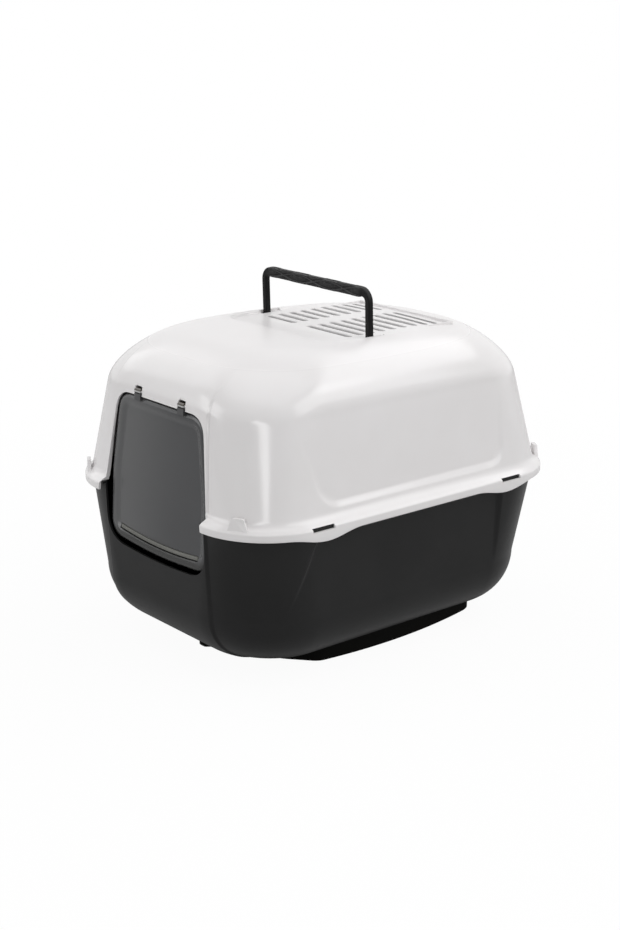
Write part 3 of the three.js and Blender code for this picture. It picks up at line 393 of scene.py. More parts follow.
def pressed(y, z, front, rear, sill, corner):
    """How far a point lies inside a pressed panel: slanted front, upright rear, rounded corners."""
    (z0, y0), (z1, y1) = front
    slant = (y1 - y0) / (z1 - z0)
    beyond = (y - y0 - (z - z0) * slant) / math.hypot(1, slant)
    return np.minimum(inside_corner(beyond, sill, corner), inside_corner(rear - y, sill, corner))


def join(body, tools, operation):
    """Adds each tool to the body or cuts it away, and clears the tool."""
    for tool in tools:
        change = body.modifiers.new("join", "BOOLEAN")
        change.object = tool
        change.operation = operation
        change.solver = "MANIFOLD"
        evaluated = body.evaluated_get(bpy.context.evaluated_depsgraph_get())
        mesh = bpy.data.meshes.new_from_object(evaluated)
        body.modifiers.clear()
        old = body.data
        body.data = mesh
        bpy.data.meshes.remove(old)
        bpy.data.objects.remove(tool)
    return body


def prism(name, outline, low, high, along="z"):
    """A closed prism on an anticlockwise outline: in plan, or in elevation when it runs along y."""
    first, second = np.asarray(outline).T
    low = np.full(len(first), low)
    high = np.full(len(first), high)
    if along == "z":
        return tube(name, [np.column_stack([first, second, place]) for place in (low, high)])
    return tube(name, [np.column_stack([first, place, second]) for place in (high, low)])


def block(name, low, high):
    (x0, y0, z0), (x1, y1, z1) = low, high
    return prism(name, [(x0, y0), (x1, y0), (x1, y1), (x0, y1)], z0, z1)


def rounded(corners, steps=10):
    """A closed outline with each corner (x, y, radius) bent on a quadratic curve."""
    outline = []
    for index, (x, y, radius) in enumerate(corners):
        here = np.array([x, y], float)
        back = np.array(corners[index - 1][:2], float) - here
        ahead = np.array(corners[(index + 1) % len(corners)][:2], float) - here
        back /= np.linalg.norm(back)
        ahead /= np.linalg.norm(ahead)
        if radius == 0:
            outline.append(here)
            continue
        half = math.acos(max(-1, min(1, float(back @ ahead)))) / 2
        reach = radius / math.tan(half)
        start, end = here + back * reach, here + ahead * reach
        for t in np.linspace(0, 1, steps + 1):
            outline.append((1 - t) ** 2 * start + 2 * t * (1 - t) * here + t * t * end)
    return np.array(outline)


def smooth_with_edges(piece, degrees):
    piece.data.shade_smooth()
    piece.data.set_sharp_from_angle(angle=math.radians(degrees))


def finished(piece, finish):
    piece.data.materials.clear()
    piece.data.materials.append(finish)
    return piece


def shape_tub(points):
    x, y, z = points.T
    at_front = eased(TUB_FRONT_EDGE + 1.7 * MM, TUB_FRONT_EDGE - 1.7 * MM, np.abs(x))
    raised = at_front * eased(-120 * MM, -160 * MM, y)
    under = eased(75 * MM, 20 * MM, z)
    inside = pressed(y, z, TUB_PRESS_FRONT, TUB_PRESS_REAR, TUB_PRESS_TOP - z, TUB_PRESS_CORNER)
    fall = np.clip((z - TUB_PRESS_FOOT) / (TUB_PRESS_TOP - TUB_PRESS_FOOT), 0, 1)
    depth = TUB_PRESS_DEPTH * fall * eased(-3.2 * MM, 3.2 * MM, inside)
    depth *= np.abs(x) > TUB_SIDE_FROM
    moved_y = y - raised * FRONT_PROUD * (1 - 0.3 * under)
    return np.column_stack([x - np.sign(x) * depth, moved_y, z - raised * under * FRONT_UNDERHANG])


def tub_plan(sizes, z):
    front = np.interp(z, *zip(*TUB_PRESS_FRONT))
    return plan_ring(sizes, TUB_FRONT_EDGE, front, TUB_PRESS_REAR)


def tub_levels(reach, lift, top):
    """The tub's levels from its floor up, grown outwards by reach and lifted by lift."""
    levels = [(tub_plan(grown(TUB_FLOOR, reach - 45 * MM), 0), TUB_FLOOR_Z + lift)]
    for angle in np.linspace(0, math.pi / 2, 25):
        sizes = grown(mixed(TUB_BEND, TUB_FLOOR, 1 - math.sin(angle)), reach)
        z = TUB_BEND_Z + (TUB_FLOOR_Z + lift - TUB_BEND_Z) * math.cos(angle)
        levels.append((tub_plan(sizes, z), z))
    wall = [spread(88 * MM, 178 * MM, 22), spread(178 * MM, 192 * MM, 10), [192 * MM, top]]
    for z in np.concatenate(wall):
        share = (z - TUB_BEND_Z) / (LIP_TOP - TUB_BEND_Z)
        levels.append((tub_plan(grown(mixed(TUB_BEND, TUB_TOP, share), reach), z), z))
    return levels


def plinth_outline(inset):
    """The plinth in plan: bowed sides, a square rear and a front drawn to a short nose."""
    half = np.array([
        (5, -180.5 + inset, 4),
        (14 - inset, -170 + inset, 10),
        (93 - inset / 2, -130 + inset, 60),
        (127 - inset, -100 + inset / 2, 22),
        (118 - inset, 160 - inset / 2, 27),
        (100 - inset / 2, 178 - inset, 19),
    ])
    bow = np.array([122.5 - inset + 24, 30])
    t = np.linspace(0, 1, 26)[1:-1, None]
    side = (1 - t) ** 2 * half[3, :2] + 2 * t * (1 - t) * bow + t * t * half[4, :2]
    side = np.column_stack([side, np.zeros(len(side))])
    right = np.concatenate([half[:4], side, half[4:]]) * MM
    return rounded(np.concatenate([right, (right * (-1, 1, 1))[::-1]]), 8)


outer = tub_levels(0, 0, LIP_TOP - LIP_THICKNESS)
lip = grown(TUB_TOP, LIP_REACH)
outer += [
    (tub_plan(grown(lip, -0.6 * MM), 1), LIP_TOP - LIP_THICKNESS),
    (tub_plan(lip, 1), LIP_TOP - LIP_THICKNESS + 0.6 * MM),
    (tub_plan(lip, 1), LIP_TOP - 0.6 * MM),
    (tub_plan(grown(lip, -0.6 * MM), 1), LIP_TOP),
]
tub = stacked_body("tub", outer, shape_tub)
tub_hollow = stacked_body("tub_hollow", tub_levels(-TUB_WALL, TUB_WALL, LIP_TOP + 4 * MM), shape_tub)
plinth = prism("plinth", plinth_outline(0), 1.2 * MM, PLINTH_TOP)
plinth_foot = prism("plinth_foot", plinth_outline(0.9), 0, 1.6 * MM)
well = prism("plinth_well", plinth_outline(2.8), 2.8 * MM, PLINTH_TOP + 6 * MM)
nose_in = TUB_TOP[0] - 1 * MM
nose_out = TUB_TOP[0] + LIP_REACH + 1.5 * MM
half = SNAP_HALF_LENGTH - SNAP_PLAY
noses = []
for side in (-1, 1):
    for y in SNAP_AT:
        inner, outer_x = sorted((side * nose_in, side * nose_out))
        low = (inner, y - half, LIP_TOP - SNAP_HEIGHT + SNAP_PLAY)
        noses.append(block("snap_nose", low, (outer_x, y + half, LIP_TOP - 0.2 * MM)))
dip = prism("dip", rounded([
    (-DIP_SIDE, DIP_BOTTOM + DIP_RISE, DIP_CORNER),
    (0, DIP_BOTTOM, LOWER_BEND),
    (DIP_SIDE, DIP_BOTTOM + DIP_RISE, DIP_CORNER),
    (DIP_SIDE, LIP_TOP + 5 * MM, 0),
    (-DIP_SIDE, LIP_TOP + 5 * MM, 0),
], 14), -RIM_END - 5 * MM, -RIM_END + 60 * MM, "y")
join(tub, [plinth, plinth_foot] + noses, "UNION")
join(tub, [tub_hollow, well, dip], "DIFFERENCE")
smooth_with_edges(tub, 34)

satin, where = new_finish("charcoal_satin")
grain = satin.noise(where, 2600, 3)
drift = satin.noise(where, 9, 3)
scuffs = satin.noise(where, 90, 5).clamped(0.56, 0.78)
# Painted shade: below the belly the plinth's colour is darkened towards black, standing in for the belly's
# shadow.
painted_shade_below_belly = satin.split(where)[2].clamped(40 * MM, 15 * MM)
dark, light = (0.0092, 0.0092, 0.0094, 1), (0.0125, 0.0125, 0.0127, 1)
tone = satin.blend(drift.clamped(0.35, 0.65), dark, light)
tone = satin.blend(painted_shade_below_belly, tone, (0.002, 0.002, 0.0018, 1))
lit = satin.plastic({
    "Base Color": tone,
    "Roughness": 0.38 + drift * 0.06 + scuffs * 0.05 + painted_shade_below_belly * 0.3,
    "Specular IOR Level": 0.2,
    "Normal": satin.bump(grain, 0.00005, 0.35),
})
# Painted shade: a near-black matt plastic is mixed in below the belly, standing in for the belly's shadow.
painted_shade_plastic = satin.plastic({
    "Base Color": (0.002, 0.002, 0.0016, 1),
    "Roughness": 0.8,
    "Specular IOR Level": 0.02,
})
finished(tub, satin.done(satin.add("ShaderNodeMixShader", None, {0: painted_shade_below_belly * 0.75, 1: lit, 2: painted_shade_plastic})))
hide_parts("base_tray")
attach(tub, "tray")

# ---- Hood ----------------------------------------------------------------------------------
# The near-white cover: one glossy polypropylene moulding that drops over the tub's lip. Its front
# panel stands proud round the doorway, its long sides are pressed in and its roof is slotted.

HOOD_WALL = 2.6 * MM
FLANGE_UNDERSIDE = LIP_TOP + 0.25 * MM
FLANGE_FOOT = LIP_TOP + 3.4 * MM
SKIRT_TOP = LIP_TOP - 2.6 * MM
SKIRT_BOTTOM = 190 * MM
SKIRT_THICKNESS = 3 * MM
BELOW_SKIRT = 170 * MM
ROOM_FOOT = 199 * MM
RIM = (RIM_SIDE, RIM_END, RIM_END, 95 * MM)
HOOD_BASE = (RIM_SIDE - 13 * MM, RIM_END - 12.8 * MM, RIM_END - 15 * MM, 73 * MM)
SHOULDER = (HOOD_BASE[0] - 15.5 * MM, HOOD_BASE[1] - 9.9 * MM, HOOD_BASE[2] - 17 * MM, 85 * MM)
SHOULDER_DRAW = (72 * MM, 75 * MM, 49 * MM)
SHOULDER_SWELL = 18 * MM
HOOD_BASE_Z = 207.5 * MM
SHOULDER_Z = 318 * MM
CROWN_Z = 382.4 * MM
CROWN_PEAK_Y = -54 * MM
CROWN_BOW_X = 0.22
CROWN_BOW_Y = 0.21
VENT_FLOOR_Z = CROWN_Z - 5.4 * MM
HOOD_FRONT_EDGE = 101 * MM
HOOD_HEAD_EDGE = 90.5 * MM
HOOD_PRESS_DEPTH = 4 * MM
HOOD_PRESS_SILL = 217 * MM
HOOD_PRESS_HEAD = 318 * MM
HOOD_PRESS_FRONT = ((HOOD_PRESS_SILL, -142 * MM), (312 * MM, -175 * MM))
HOOD_PRESS_REAR = 146 * MM
HOOD_PRESS_CORNER = 22 * MM
HOOD_SIDE_FROM = 120 * MM
LOBE_AT = (-148 * MM, 140 * MM)
LOBE_DROP = 7 * MM
LOBE_HALF_LENGTH = 52 * MM
DOOR_BASE_SIDE = 99.5 * MM
DOOR_HEAD_SIDE = 83.5 * MM
DOOR_TOP = 316 * MM
DOOR_CORNER = 27 * MM
RIM_GAP_SIDE = 101.2 * MM
LUG_BASE = 26 * MM
LUG_HEAD = 13.5 * MM
LUG_TOP = 216 * MM
LUG_SET_BACK = 2.6 * MM
LUG_DEPTH = 4.5 * MM
LUG_CORNER = 1.8 * MM
LUG_SWING = 31
HINGE_X = 42.5 * MM
HINGE_Y = -(RIM_END - 21.7 * MM)
HINGE_Z = DOOR_TOP + 5.5 * MM
HINGE_BAR = 1.7 * MM
POCKET_HALF_WIDTH = 6.9 * MM
POCKET_FACE_Y = -(RIM_END - 20.6 * MM)
SCOOP_LEAN = math.radians(-8)
HANDLE_X = 96.5 * MM
HANDLE_Y = -1 * MM
HANDLE_PIVOT_Z = VENT_FLOOR_Z - 4 * MM
SLOT_FRONT = -12 * MM
SLOT_REAR = 20.5 * MM
CHANNEL_FLOOR_Z = HANDLE_PIVOT_Z - 7.6 * MM
SLOT_RAMPS = (
    (9.5 * MM, HANDLE_PIVOT_Z + 0.6 * MM, 28, -4 * MM, 6 * MM),
    (-7.2 * MM, HANDLE_PIVOT_Z + 0.6 * MM, -48, -3.2 * MM, 3 * MM),
)
VENT_ROWS = 9
VENT_PITCH = 17.75 * MM
VENT_FIRST_Y = -14 * MM
VENT_WIDTH = 8.4 * MM
VENT_SPANS = ((-78.6 * MM, -23.6 * MM), (-1 * MM, 78.6 * MM))
FIELD_FRONT = -71 * MM
FIELD_SIDE = 96.5 * MM
FIELD_CORNER = 28 * MM
ROOF_FROM = 360 * MM
SLOT_HALF_WIDTH = 4.3 * MM
CHANNEL_TOP = 376.2 * MM
CHEEKS = ((-7 * MM, 375.8 * MM), (4.2 * MM, 377.9 * MM))
CHEEK_THICKNESS = 2.8 * MM
CHEEK_BORE = 3.35 * MM
BORE_REACH = 10 * MM
RAIL_FOOT = 354.6 * MM
RAIL_FRONT = -32 * MM
RAIL_REAR = 148.9 * MM
RAILS = (
    ("filter_rail", 82.5 * MM, 85.1 * MM, 375.8 * MM),
    ("filter_ledge", 78.5 * MM, 83.5 * MM, 357.2 * MM),
)


def crown(x, y):
    """The domed roof's height over a point. It falls away from its peak both ways."""
    return CROWN_Z - CROWN_BOW_X * x * x - CROWN_BOW_Y * (y - CROWN_PEAK_Y) ** 2


def panel_edge(z):
    """The raised panel's half width: it narrows with the doorway, to leave an even strip."""
    share = np.clip((z - FLANGE_FOOT) / (DOOR_TOP - FLANGE_FOOT), 0, 1)
    return HOOD_FRONT_EDGE + (HOOD_HEAD_EDGE - HOOD_FRONT_EDGE) * share


def shape_hood(points, wall=0):
    """Raises the front panel, presses in the sides and sinks the vent field of a hood form."""
    x, y, z = points.T
    edge = panel_edge(z) - wall
    at_front = eased(edge + 0.9 * MM, edge - 0.9 * MM, np.abs(x))
    raised = FRONT_PROUD * at_front * eased(-100 * MM, -140 * MM, y) * eased(376 * MM, 316 * MM, z)
    raised *= eased(FLANGE_FOOT - 1 * MM, FLANGE_FOOT + 2 * MM, z) if wall == 0 else 1
    inside = pressed(y, z, HOOD_PRESS_FRONT, HOOD_PRESS_REAR, z - HOOD_PRESS_SILL, HOOD_PRESS_CORNER)
    fall = np.clip((HOOD_PRESS_HEAD - z) / (HOOD_PRESS_HEAD - HOOD_PRESS_SILL), 0, 1)
    depth = HOOD_PRESS_DEPTH * fall**2 * eased(-4.6 * MM, 4.6 * MM, inside)
    depth *= (np.abs(x) > HOOD_SIDE_FROM) & (z > HOOD_PRESS_SILL - 5 * MM)
    front_in = y - FIELD_FRONT + wall
    side_in = FIELD_SIDE + wall - np.abs(x)
    field = eased(-2.2 * MM, 2.2 * MM, inside_corner(front_in, side_in, FIELD_CORNER))
    above = np.maximum(z - (VENT_FLOOR_Z - wall), 0) * (z > ROOF_FROM)
    return np.column_stack([x - np.sign(x) * depth, y - raised, z - field * above])


def lobe(x, y):
    """How far the skirt's lower edge hangs down beside each snap point."""
    reach = np.minimum(np.abs(y - LOBE_AT[0]), np.abs(y - LOBE_AT[1])) / LOBE_HALF_LENGTH
    drop = LOBE_DROP * (1 + np.cos(math.pi * np.minimum(reach, 1))) / 2
    return np.where(np.abs(x) > RIM_SIDE / 2, drop, 0)


def hood_plan(sizes, z):
    front = np.interp(z, *zip(*HOOD_PRESS_FRONT))
    return plan_ring(sizes, panel_edge(z), front, HOOD_PRESS_REAR)


def hood_form(wall, heights):
    """The hood's levels above its rim, drawn in by the wall."""
    levels = []
    for z in heights:
        share = (z - HOOD_BASE_Z) / (SHOULDER_Z - HOOD_BASE_Z)
        levels.append((hood_plan(grown(mixed(HOOD_BASE, SHOULDER, share), -wall), z), z))
    for angle in np.linspace(0, math.pi / 2, 27):
        draw = tuple(-wall - size * (1 - math.cos(angle)) for size in SHOULDER_DRAW)
        swell = SHOULDER_SWELL * math.sin(2 * angle) - wall
        sizes = tuple(size + change for size, change in zip(SHOULDER, draw + (swell,)))
        rise = math.sin(angle)

        def height(x, y, rise=rise):
            return SHOULDER_Z + rise * (crown(x, y) - wall - SHOULDER_Z)

        levels.append((hood_plan(sizes, SHOULDER_Z), height))
    return levels


def rim_level(inset, z, hang=0.0):
    plan = hood_plan(grown(RIM, -inset), 0)
    return plan, (lambda x, y: z - hang * lobe(x, y))


def flange_level(share, z):
    """A level part of the way from the rim's edge to the wall that rises from the flange."""
    wall = mixed(HOOD_BASE, SHOULDER, (z - HOOD_BASE_Z) / (SHOULDER_Z - HOOD_BASE_Z))
    return hood_plan(mixed(RIM, wall, share), z), z


hood_levels = [
    rim_level(SKIRT_THICKNESS + 1.6 * MM, FLANGE_UNDERSIDE),
    rim_level(SKIRT_THICKNESS, FLANGE_UNDERSIDE - 1.6 * MM),
    rim_level(SKIRT_THICKNESS, SKIRT_BOTTOM + 1 * MM, 1),
    rim_level(2.3 * MM, SKIRT_BOTTOM, 1),
    rim_level(1.0 * MM, SKIRT_BOTTOM, 1),
    rim_level(0.3 * MM, SKIRT_BOTTOM + 0.4 * MM, 1),
    rim_level(0, SKIRT_BOTTOM + 1.2 * MM, 1),
    rim_level(0, SKIRT_TOP - 4 * MM, 0.5),
    rim_level(0, SKIRT_TOP - 1 * MM, 0.1),
    rim_level(0, SKIRT_TOP),
    rim_level(0.25 * MM, SKIRT_TOP + 0.8 * MM),
    rim_level(0.8 * MM, SKIRT_TOP + 1.5 * MM),
    rim_level(1.6 * MM, SKIRT_TOP + 2.1 * MM),
    flange_level(0.30, FLANGE_FOOT - 2.6 * MM),
    flange_level(0.50, FLANGE_FOOT - 1.45 * MM),
    flange_level(0.66, FLANGE_FOOT - 0.45 * MM),
    flange_level(0.78, FLANGE_FOOT + 0.6 * MM),
    flange_level(0.87, FLANGE_FOOT + 1.8 * MM),
    flange_level(0.94, FLANGE_FOOT + 3.2 * MM),
    flange_level(0.98, FLANGE_FOOT + 4.8 * MM),
    flange_level(1.0, FLANGE_FOOT + 6.6 * MM),
]
sill_foot, sill_head = HOOD_PRESS_SILL - 4.5 * MM, HOOD_PRESS_SILL + 5.5 * MM
heights = [spread(sill_foot, sill_head, 8), spread(sill_head, SHOULDER_Z, 27)]
hood_levels += hood_form(0, np.concatenate(heights))
hood = stacked_body("hood_shell", hood_levels, shape_hood, netted=True)
heights = [[ROOM_FOOT], spread(sill_foot, sill_head, 5), spread(sill_head, SHOULDER_Z, 16)]
room_levels = hood_form(HOOD_WALL, np.concatenate(heights))
room = stacked_body("room", room_levels, lambda points: shape_hood(points, HOOD_WALL), netted=True)
skirt_room = stacked_body("skirt_room", [
    rim_level(SKIRT_THICKNESS + 0.05 * MM, BELOW_SKIRT),
    rim_level(SKIRT_THICKNESS + 0.05 * MM, FLANGE_UNDERSIDE - 1.62 * MM),
    rim_level(SKIRT_THICKNESS + 1.62 * MM, FLANGE_UNDERSIDE - 0.03 * MM),
], lambda points: points)


def door_side(z, gap=0.0):
    taper = (DOOR_BASE_SIDE - DOOR_HEAD_SIDE) / (DOOR_TOP - HOOD_BASE_Z)
    return DOOR_BASE_SIDE - taper * (z - HOOD_BASE_Z) - gap


def slot_cutter(name, spans, y, width, floor, mouth):
    """Round-ended slots cut through a level roof, with a small bevel at their mouths."""
    turn = np.linspace(-math.pi / 2, math.pi / 2, 9)
    half = width / 2
    bevel = ((mouth - 0.9 * MM, 0), (mouth - 0.3 * MM, 0.25 * MM), (mouth + 0.2 * MM, 0.9 * MM))
    levels = ((floor, 0),) + bevel
    rings = []
    faces = []
    for x0, x1 in spans:
        faces += tube_faces(2 * len(turn), len(levels), len(rings) * 2 * len(turn))
        for z, out in levels:
            across, along = (half + out) * np.cos(turn), (half + out) * np.sin(turn)
            x = np.concatenate([x1 - half + across, x0 + half - across])
            rings.append(np.column_stack([x, np.concatenate([y + along, y - along]), np.full(len(x), z)]))
    return add_object(name, np.concatenate(rings), faces)


def repeat_along_y(piece, rows, pitch, finish):
    """Repeats the piece along y with geometry nodes and makes the row one mesh."""
    tree = bpy.data.node_groups.new("repeat_along_y", "GeometryNodeTree")
    add_socket = tree.interface.new_socket
    add_socket("Geometry", in_out="INPUT", socket_type="NodeSocketGeometry")
    add_socket("Geometry", in_out="OUTPUT", socket_type="NodeSocketGeometry")
    values = {}
    inputs = (("Rows", "Int", rows), ("Pitch", "Float", pitch), ("Finish", "Material", finish))
    for name, kind, value in inputs:
        socket = add_socket(name, in_out="INPUT", socket_type="NodeSocket" + kind)
        values[socket.identifier] = value
    nodes, link = tree.nodes, tree.links.new
    given, made = nodes.new("NodeGroupInput"), nodes.new("NodeGroupOutput")
    step = nodes.new("ShaderNodeCombineXYZ")
    line = nodes.new("GeometryNodeMeshLine")
    copies = nodes.new("GeometryNodeInstanceOnPoints")
    solid = nodes.new("GeometryNodeRealizeInstances")
    coated = nodes.new("GeometryNodeSetMaterial")
    link(given.outputs["Pitch"], step.inputs["Y"])
    link(given.outputs["Rows"], line.inputs["Count"])
    link(step.outputs[0], line.inputs["Offset"])
    link(line.outputs[0], copies.inputs["Points"])
    link(given.outputs["Geometry"], copies.inputs["Instance"])
    link(copies.outputs[0], solid.inputs[0])
    link(solid.outputs[0], coated.inputs["Geometry"])
    link(given.outputs["Finish"], coated.inputs["Material"])
    link(coated.outputs[0], made.inputs[0])
    rows_made = piece.modifiers.new("repeat", "NODES")
    rows_made.node_group = tree
    for identifier, value in values.items():
        rows_made[identifier] = value
    evaluated = piece.evaluated_get(bpy.context.evaluated_depsgraph_get())
    mesh = bpy.data.meshes.new_from_object(evaluated)
    piece.modifiers.clear()
    piece.data = mesh
    return piece


def round_bar(name, radius, x0, x1, y, z, steps=32):
    """A closed round bar along x with bevelled ends."""
    turn = np.arange(steps) * 2 * math.pi / steps
    bevel = min(0.3 * MM, radius / 4)
    rings = []
    for x, r in ((x0, radius - bevel), (x0 + bevel, radius), (x1 - bevel, radius), (x1, radius - bevel)):
        rings.append(np.column_stack([np.full(steps, x), y + r * np.cos(turn), z + r * np.sin(turn)]))
    return tube(name, rings)


gloss, where = new_finish("white_gloss")
orange_peel = gloss.noise(where, 420, 2)
drift = gloss.noise(where, 7, 3)
handled_roof = gloss.split(where)[2].clamped(352 * MM, 376 * MM)
tone = gloss.blend(drift.clamped(0.3, 0.7), (0.80, 0.783, 0.783, 1), (0.83, 0.814, 0.818, 1))
white_gloss = gloss.done(gloss.plastic({
    "Base Color": tone,
    "Roughness": 0.155 + drift * 0.05 + handled_roof * 0.16,
    "Specular IOR Level": 0.5,
    "Normal": gloss.bump(orange_peel, 0.00006, 0.25),
}))

slots_foot = VENT_FLOOR_Z - 12 * MM
slots = slot_cutter("vent_slots", VENT_SPANS, VENT_FIRST_Y, VENT_WIDTH, slots_foot, VENT_FLOOR_Z)
repeat_along_y(slots, VENT_ROWS, VENT_PITCH, white_gloss)
cutters = [room, skirt_room, slots]
door_foot = HOOD_BASE_Z - 20 * MM
outside, through = -RIM_END - 5 * MM, -RIM_END + 70 * MM
cutters.append(prism("doorway", rounded([
    (-door_side(door_foot), door_foot, 0),
    (door_side(door_foot), door_foot, 0),
    (door_side(DOOR_TOP), DOOR_TOP, DOOR_CORNER),
    (-door_side(DOOR_TOP), DOOR_TOP, DOOR_CORNER),
], 14), outside, through, "y"))
gap_low = (-RIM_GAP_SIDE, outside, BELOW_SKIRT)
gap_high = (RIM_GAP_SIDE, -SHOULDER[1] + 10 * MM, FLANGE_FOOT + 0.4 * MM)
cutters.append(block("rim_gap", gap_low, gap_high))
panel_face = -HOOD_BASE[1] - FRONT_PROUD - 0.3 * MM
cutters.append(block("flange_gap", gap_low, (RIM_GAP_SIDE, panel_face, FLANGE_FOOT + 8 * MM)))
bars = []
for side in (-1, 1):
    x = side * HINGE_X
    low = (x - POCKET_HALF_WIDTH, outside, DOOR_TOP - 3 * MM)
    cutters.append(block("hook_pocket", low, (x + POCKET_HALF_WIDTH, through, HINGE_Z + 5.9 * MM)))
    scoop = block("hook_scoop", (x - 4.4 * MM, -3.4 * MM, 0), (x + 4.4 * MM, 1.3 * MM, 9 * MM))
    scoop_place = Matrix.Translation((0, POCKET_FACE_Y, HINGE_Z + 5 * MM))
    scoop.data.transform(scoop_place @ Matrix.Rotation(SCOOP_LEAN, 4, "X"))
    cutters.append(scoop)
    reach = POCKET_HALF_WIDTH + 1.5 * MM
    bars.append(round_bar("hinge_bar", HINGE_BAR, x - reach, x + reach, HINGE_Y, HINGE_Z))
    inner, outer_x = sorted((side * (RIM_SIDE - 8 * MM), side * (RIM_SIDE + 5 * MM)))
    for y in SNAP_AT:
        low = (inner, y - SNAP_HALF_LENGTH, LIP_TOP - SNAP_HEIGHT)
        cutters.append(block("snap_window", low, (outer_x, y + SNAP_HALF_LENGTH, LIP_TOP + 0.25 * MM)))
    x = side * HANDLE_X
    low = (x - SLOT_HALF_WIDTH, SLOT_FRONT, HANDLE_PIVOT_Z - 11 * MM)
    cutters.append(block("handle_slot", low, (x + SLOT_HALF_WIDTH, SLOT_REAR, CROWN_Z + 7.6 * MM)))


def lug_outline(inset):
    foot = FLANGE_UNDERSIDE - 1.2 * MM
    return rounded([
        (-LUG_BASE / 2 + inset, foot, 0),
        (LUG_BASE / 2 - inset, foot, 0),
        (LUG_HEAD / 2 - inset, LUG_TOP - inset, LUG_CORNER),
        (-LUG_HEAD / 2 + inset, LUG_TOP - inset, LUG_CORNER),
    ], 5)


def plate(name, outline, levels):
    """A closed upright plate: pairs of inset and y, front first, and its outline at any inset."""
    rings = []
    for inset, y in levels:
        x, z = outline(inset).T
        rings.append(np.column_stack([x, np.full(len(x), y), z]))
    return tube(name, rings, flipped=True)


lug_front = -RIM[3] + LUG_SET_BACK
lug_back = lug_front + LUG_DEPTH
lugs = []
for side in (-1, 1):
    for end in (-1, 1):
        lug = plate("corner_lug", lug_outline, [
            (0.5 * MM, lug_front),
            (0.15 * MM, lug_front + 0.15 * MM),
            (0, lug_front + 0.5 * MM),
            (0, lug_back - 0.5 * MM),
            (0.15 * MM, lug_back - 0.15 * MM),
            (0.5 * MM, lug_back),
        ])
        swing = side * LUG_SWING if end < 0 else 180 - side * LUG_SWING
        turned = Matrix.Rotation(math.radians(swing), 4, "Z")
        place = Matrix.Translation((side * (RIM_SIDE - RIM[3]), end * (RIM_END - RIM[3]), 0))
        lug.data.transform(place @ turned)
        lugs.append(lug)
join(hood, lugs, "UNION")
join(hood, cutters, "DIFFERENCE")

fittings = bars
channel_front, channel_rear = SLOT_FRONT - 1.6 * MM, SLOT_REAR + 1.8 * MM
for side in (-1, 1):
    middle = side * HANDLE_X
    for reach, top in CHEEKS:
        x = middle + reach if side > 0 else middle - reach - CHEEK_THICKNESS
        far_x = x + CHEEK_THICKNESS
        cheek = block("handle_cheek", (x, channel_front, CHANNEL_FLOOR_Z), (far_x, 7.8 * MM, top))
        ends = x - BORE_REACH, x + BORE_REACH
        bore = round_bar("cheek_bore", CHEEK_BORE, *ends, HANDLE_Y, HANDLE_PIVOT_Z, 24)
        fittings.append(join(cheek, [bore], "DIFFERENCE"))
        low = (x, 7.6 * MM, CHANNEL_FLOOR_Z)
        fittings.append(block("slot_lining", low, (far_x, channel_rear, top)))
    for y0, y1 in ((channel_front, SLOT_FRONT + 2.2 * MM), (SLOT_REAR - 6.1 * MM, SLOT_REAR + 1.65 * MM)):
        low = (middle - 5 * MM, y0, CHANNEL_FLOOR_Z)
        fittings.append(block("slot_end", low, (middle + 5 * MM, y1, CHANNEL_TOP)))
    low = (middle - 6.9 * MM, channel_front, CHANNEL_FLOOR_Z - 1.4 * MM)
    high = (middle + 6.9 * MM, channel_rear, CHANNEL_FLOOR_Z + 0.1 * MM)
    fittings.append(block("slot_floor", low, high))
    for y, z, degrees, y0, y1 in SLOT_RAMPS:
        ramp = block("slot_ramp", (-5 * MM, y0, -4 * MM), (5 * MM, y1, 0))
        tilt = Matrix.Rotation(math.radians(degrees), 4, "X")
        ramp.data.transform(Matrix.Translation((middle, y, z)) @ tilt)
        fittings.append(ramp)
    for name, near, far, top in RAILS:
        x0, x1 = sorted((side * near, side * far))
        fittings.append(block(name, (x0, RAIL_FRONT, RAIL_FOOT), (x1, RAIL_REAR, top)))
fittings.append(block("filter_stop", (-84 * MM, 146.3 * MM, RAIL_FOOT), (84 * MM, RAIL_REAR, CHANNEL_TOP)))
join(hood, fittings, "UNION")
smooth_with_edges(hood, 33)
finished(hood, white_gloss)
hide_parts("hood")
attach(hood, "hood")

# ---- Door flap -----------------------------------------------------------------------------
# A smoked grey flap: a rolled edge round a dished middle, a matt strip set in above the lower
# edge, pale in its own colour and painted paler still as a highlight, and two thin open hooks
# that clip over the hood's round bars.

FLAP_GAP = 2 * MM
FLAP_BOTTOM = DIP_BOTTOM + 5.4 * MM
FLAP_TOP = DOOR_TOP - 2.5 * MM
FLAP_THICKNESS = 2.4 * MM
FLAP_CORNER = 25 * MM
WAIST_BEND = 100 * MM
FLAP_FRONT_Y = -(RIM_END - 21 * MM)
FLAP_LEAN = math.radians(2.6)
FLAP_DISH = 3 * MM
STRIP_HALF_LENGTH = 77 * MM
STRIP_Z = FLAP_BOTTOM + 8.2 * MM
STRIP_HEIGHT = 4.4 * MM
STRIP_RISE = 9 * MM
STRIP_PROUD = 1.2 * MM
STRIP_CORNER = 1.6 * MM
STRIP_BEND = 620 * MM
HOOK_HALF_WIDTH = 5.8 * MM
HOOK_INNER = HINGE_BAR + 0.4 * MM
HOOK_OUTER = HOOK_INNER + 1.5 * MM


def flap_outline(inset):
    """The flap in elevation, drawn in by inset, with the same number of points at every inset."""
    waist = DIP_SIDE - FLAP_GAP - inset
    waist_z = HOOD_BASE_Z + 10 * MM
    corner = max(FLAP_CORNER - inset, 8 * MM)
    foot = FLAP_BOTTOM + inset
    head = FLAP_TOP - inset
    head_side = door_side(head, FLAP_GAP + inset)
    return rounded([
        (-waist, foot + DIP_RISE, corner),
        (0, foot, LOWER_BEND),
        (waist, foot + DIP_RISE, corner),
        (waist, waist_z, WAIST_BEND),
        (head_side, head, corner),
        (-head_side, head, corner),
        (-waist, waist_z, WAIST_BEND),
    ], 18)


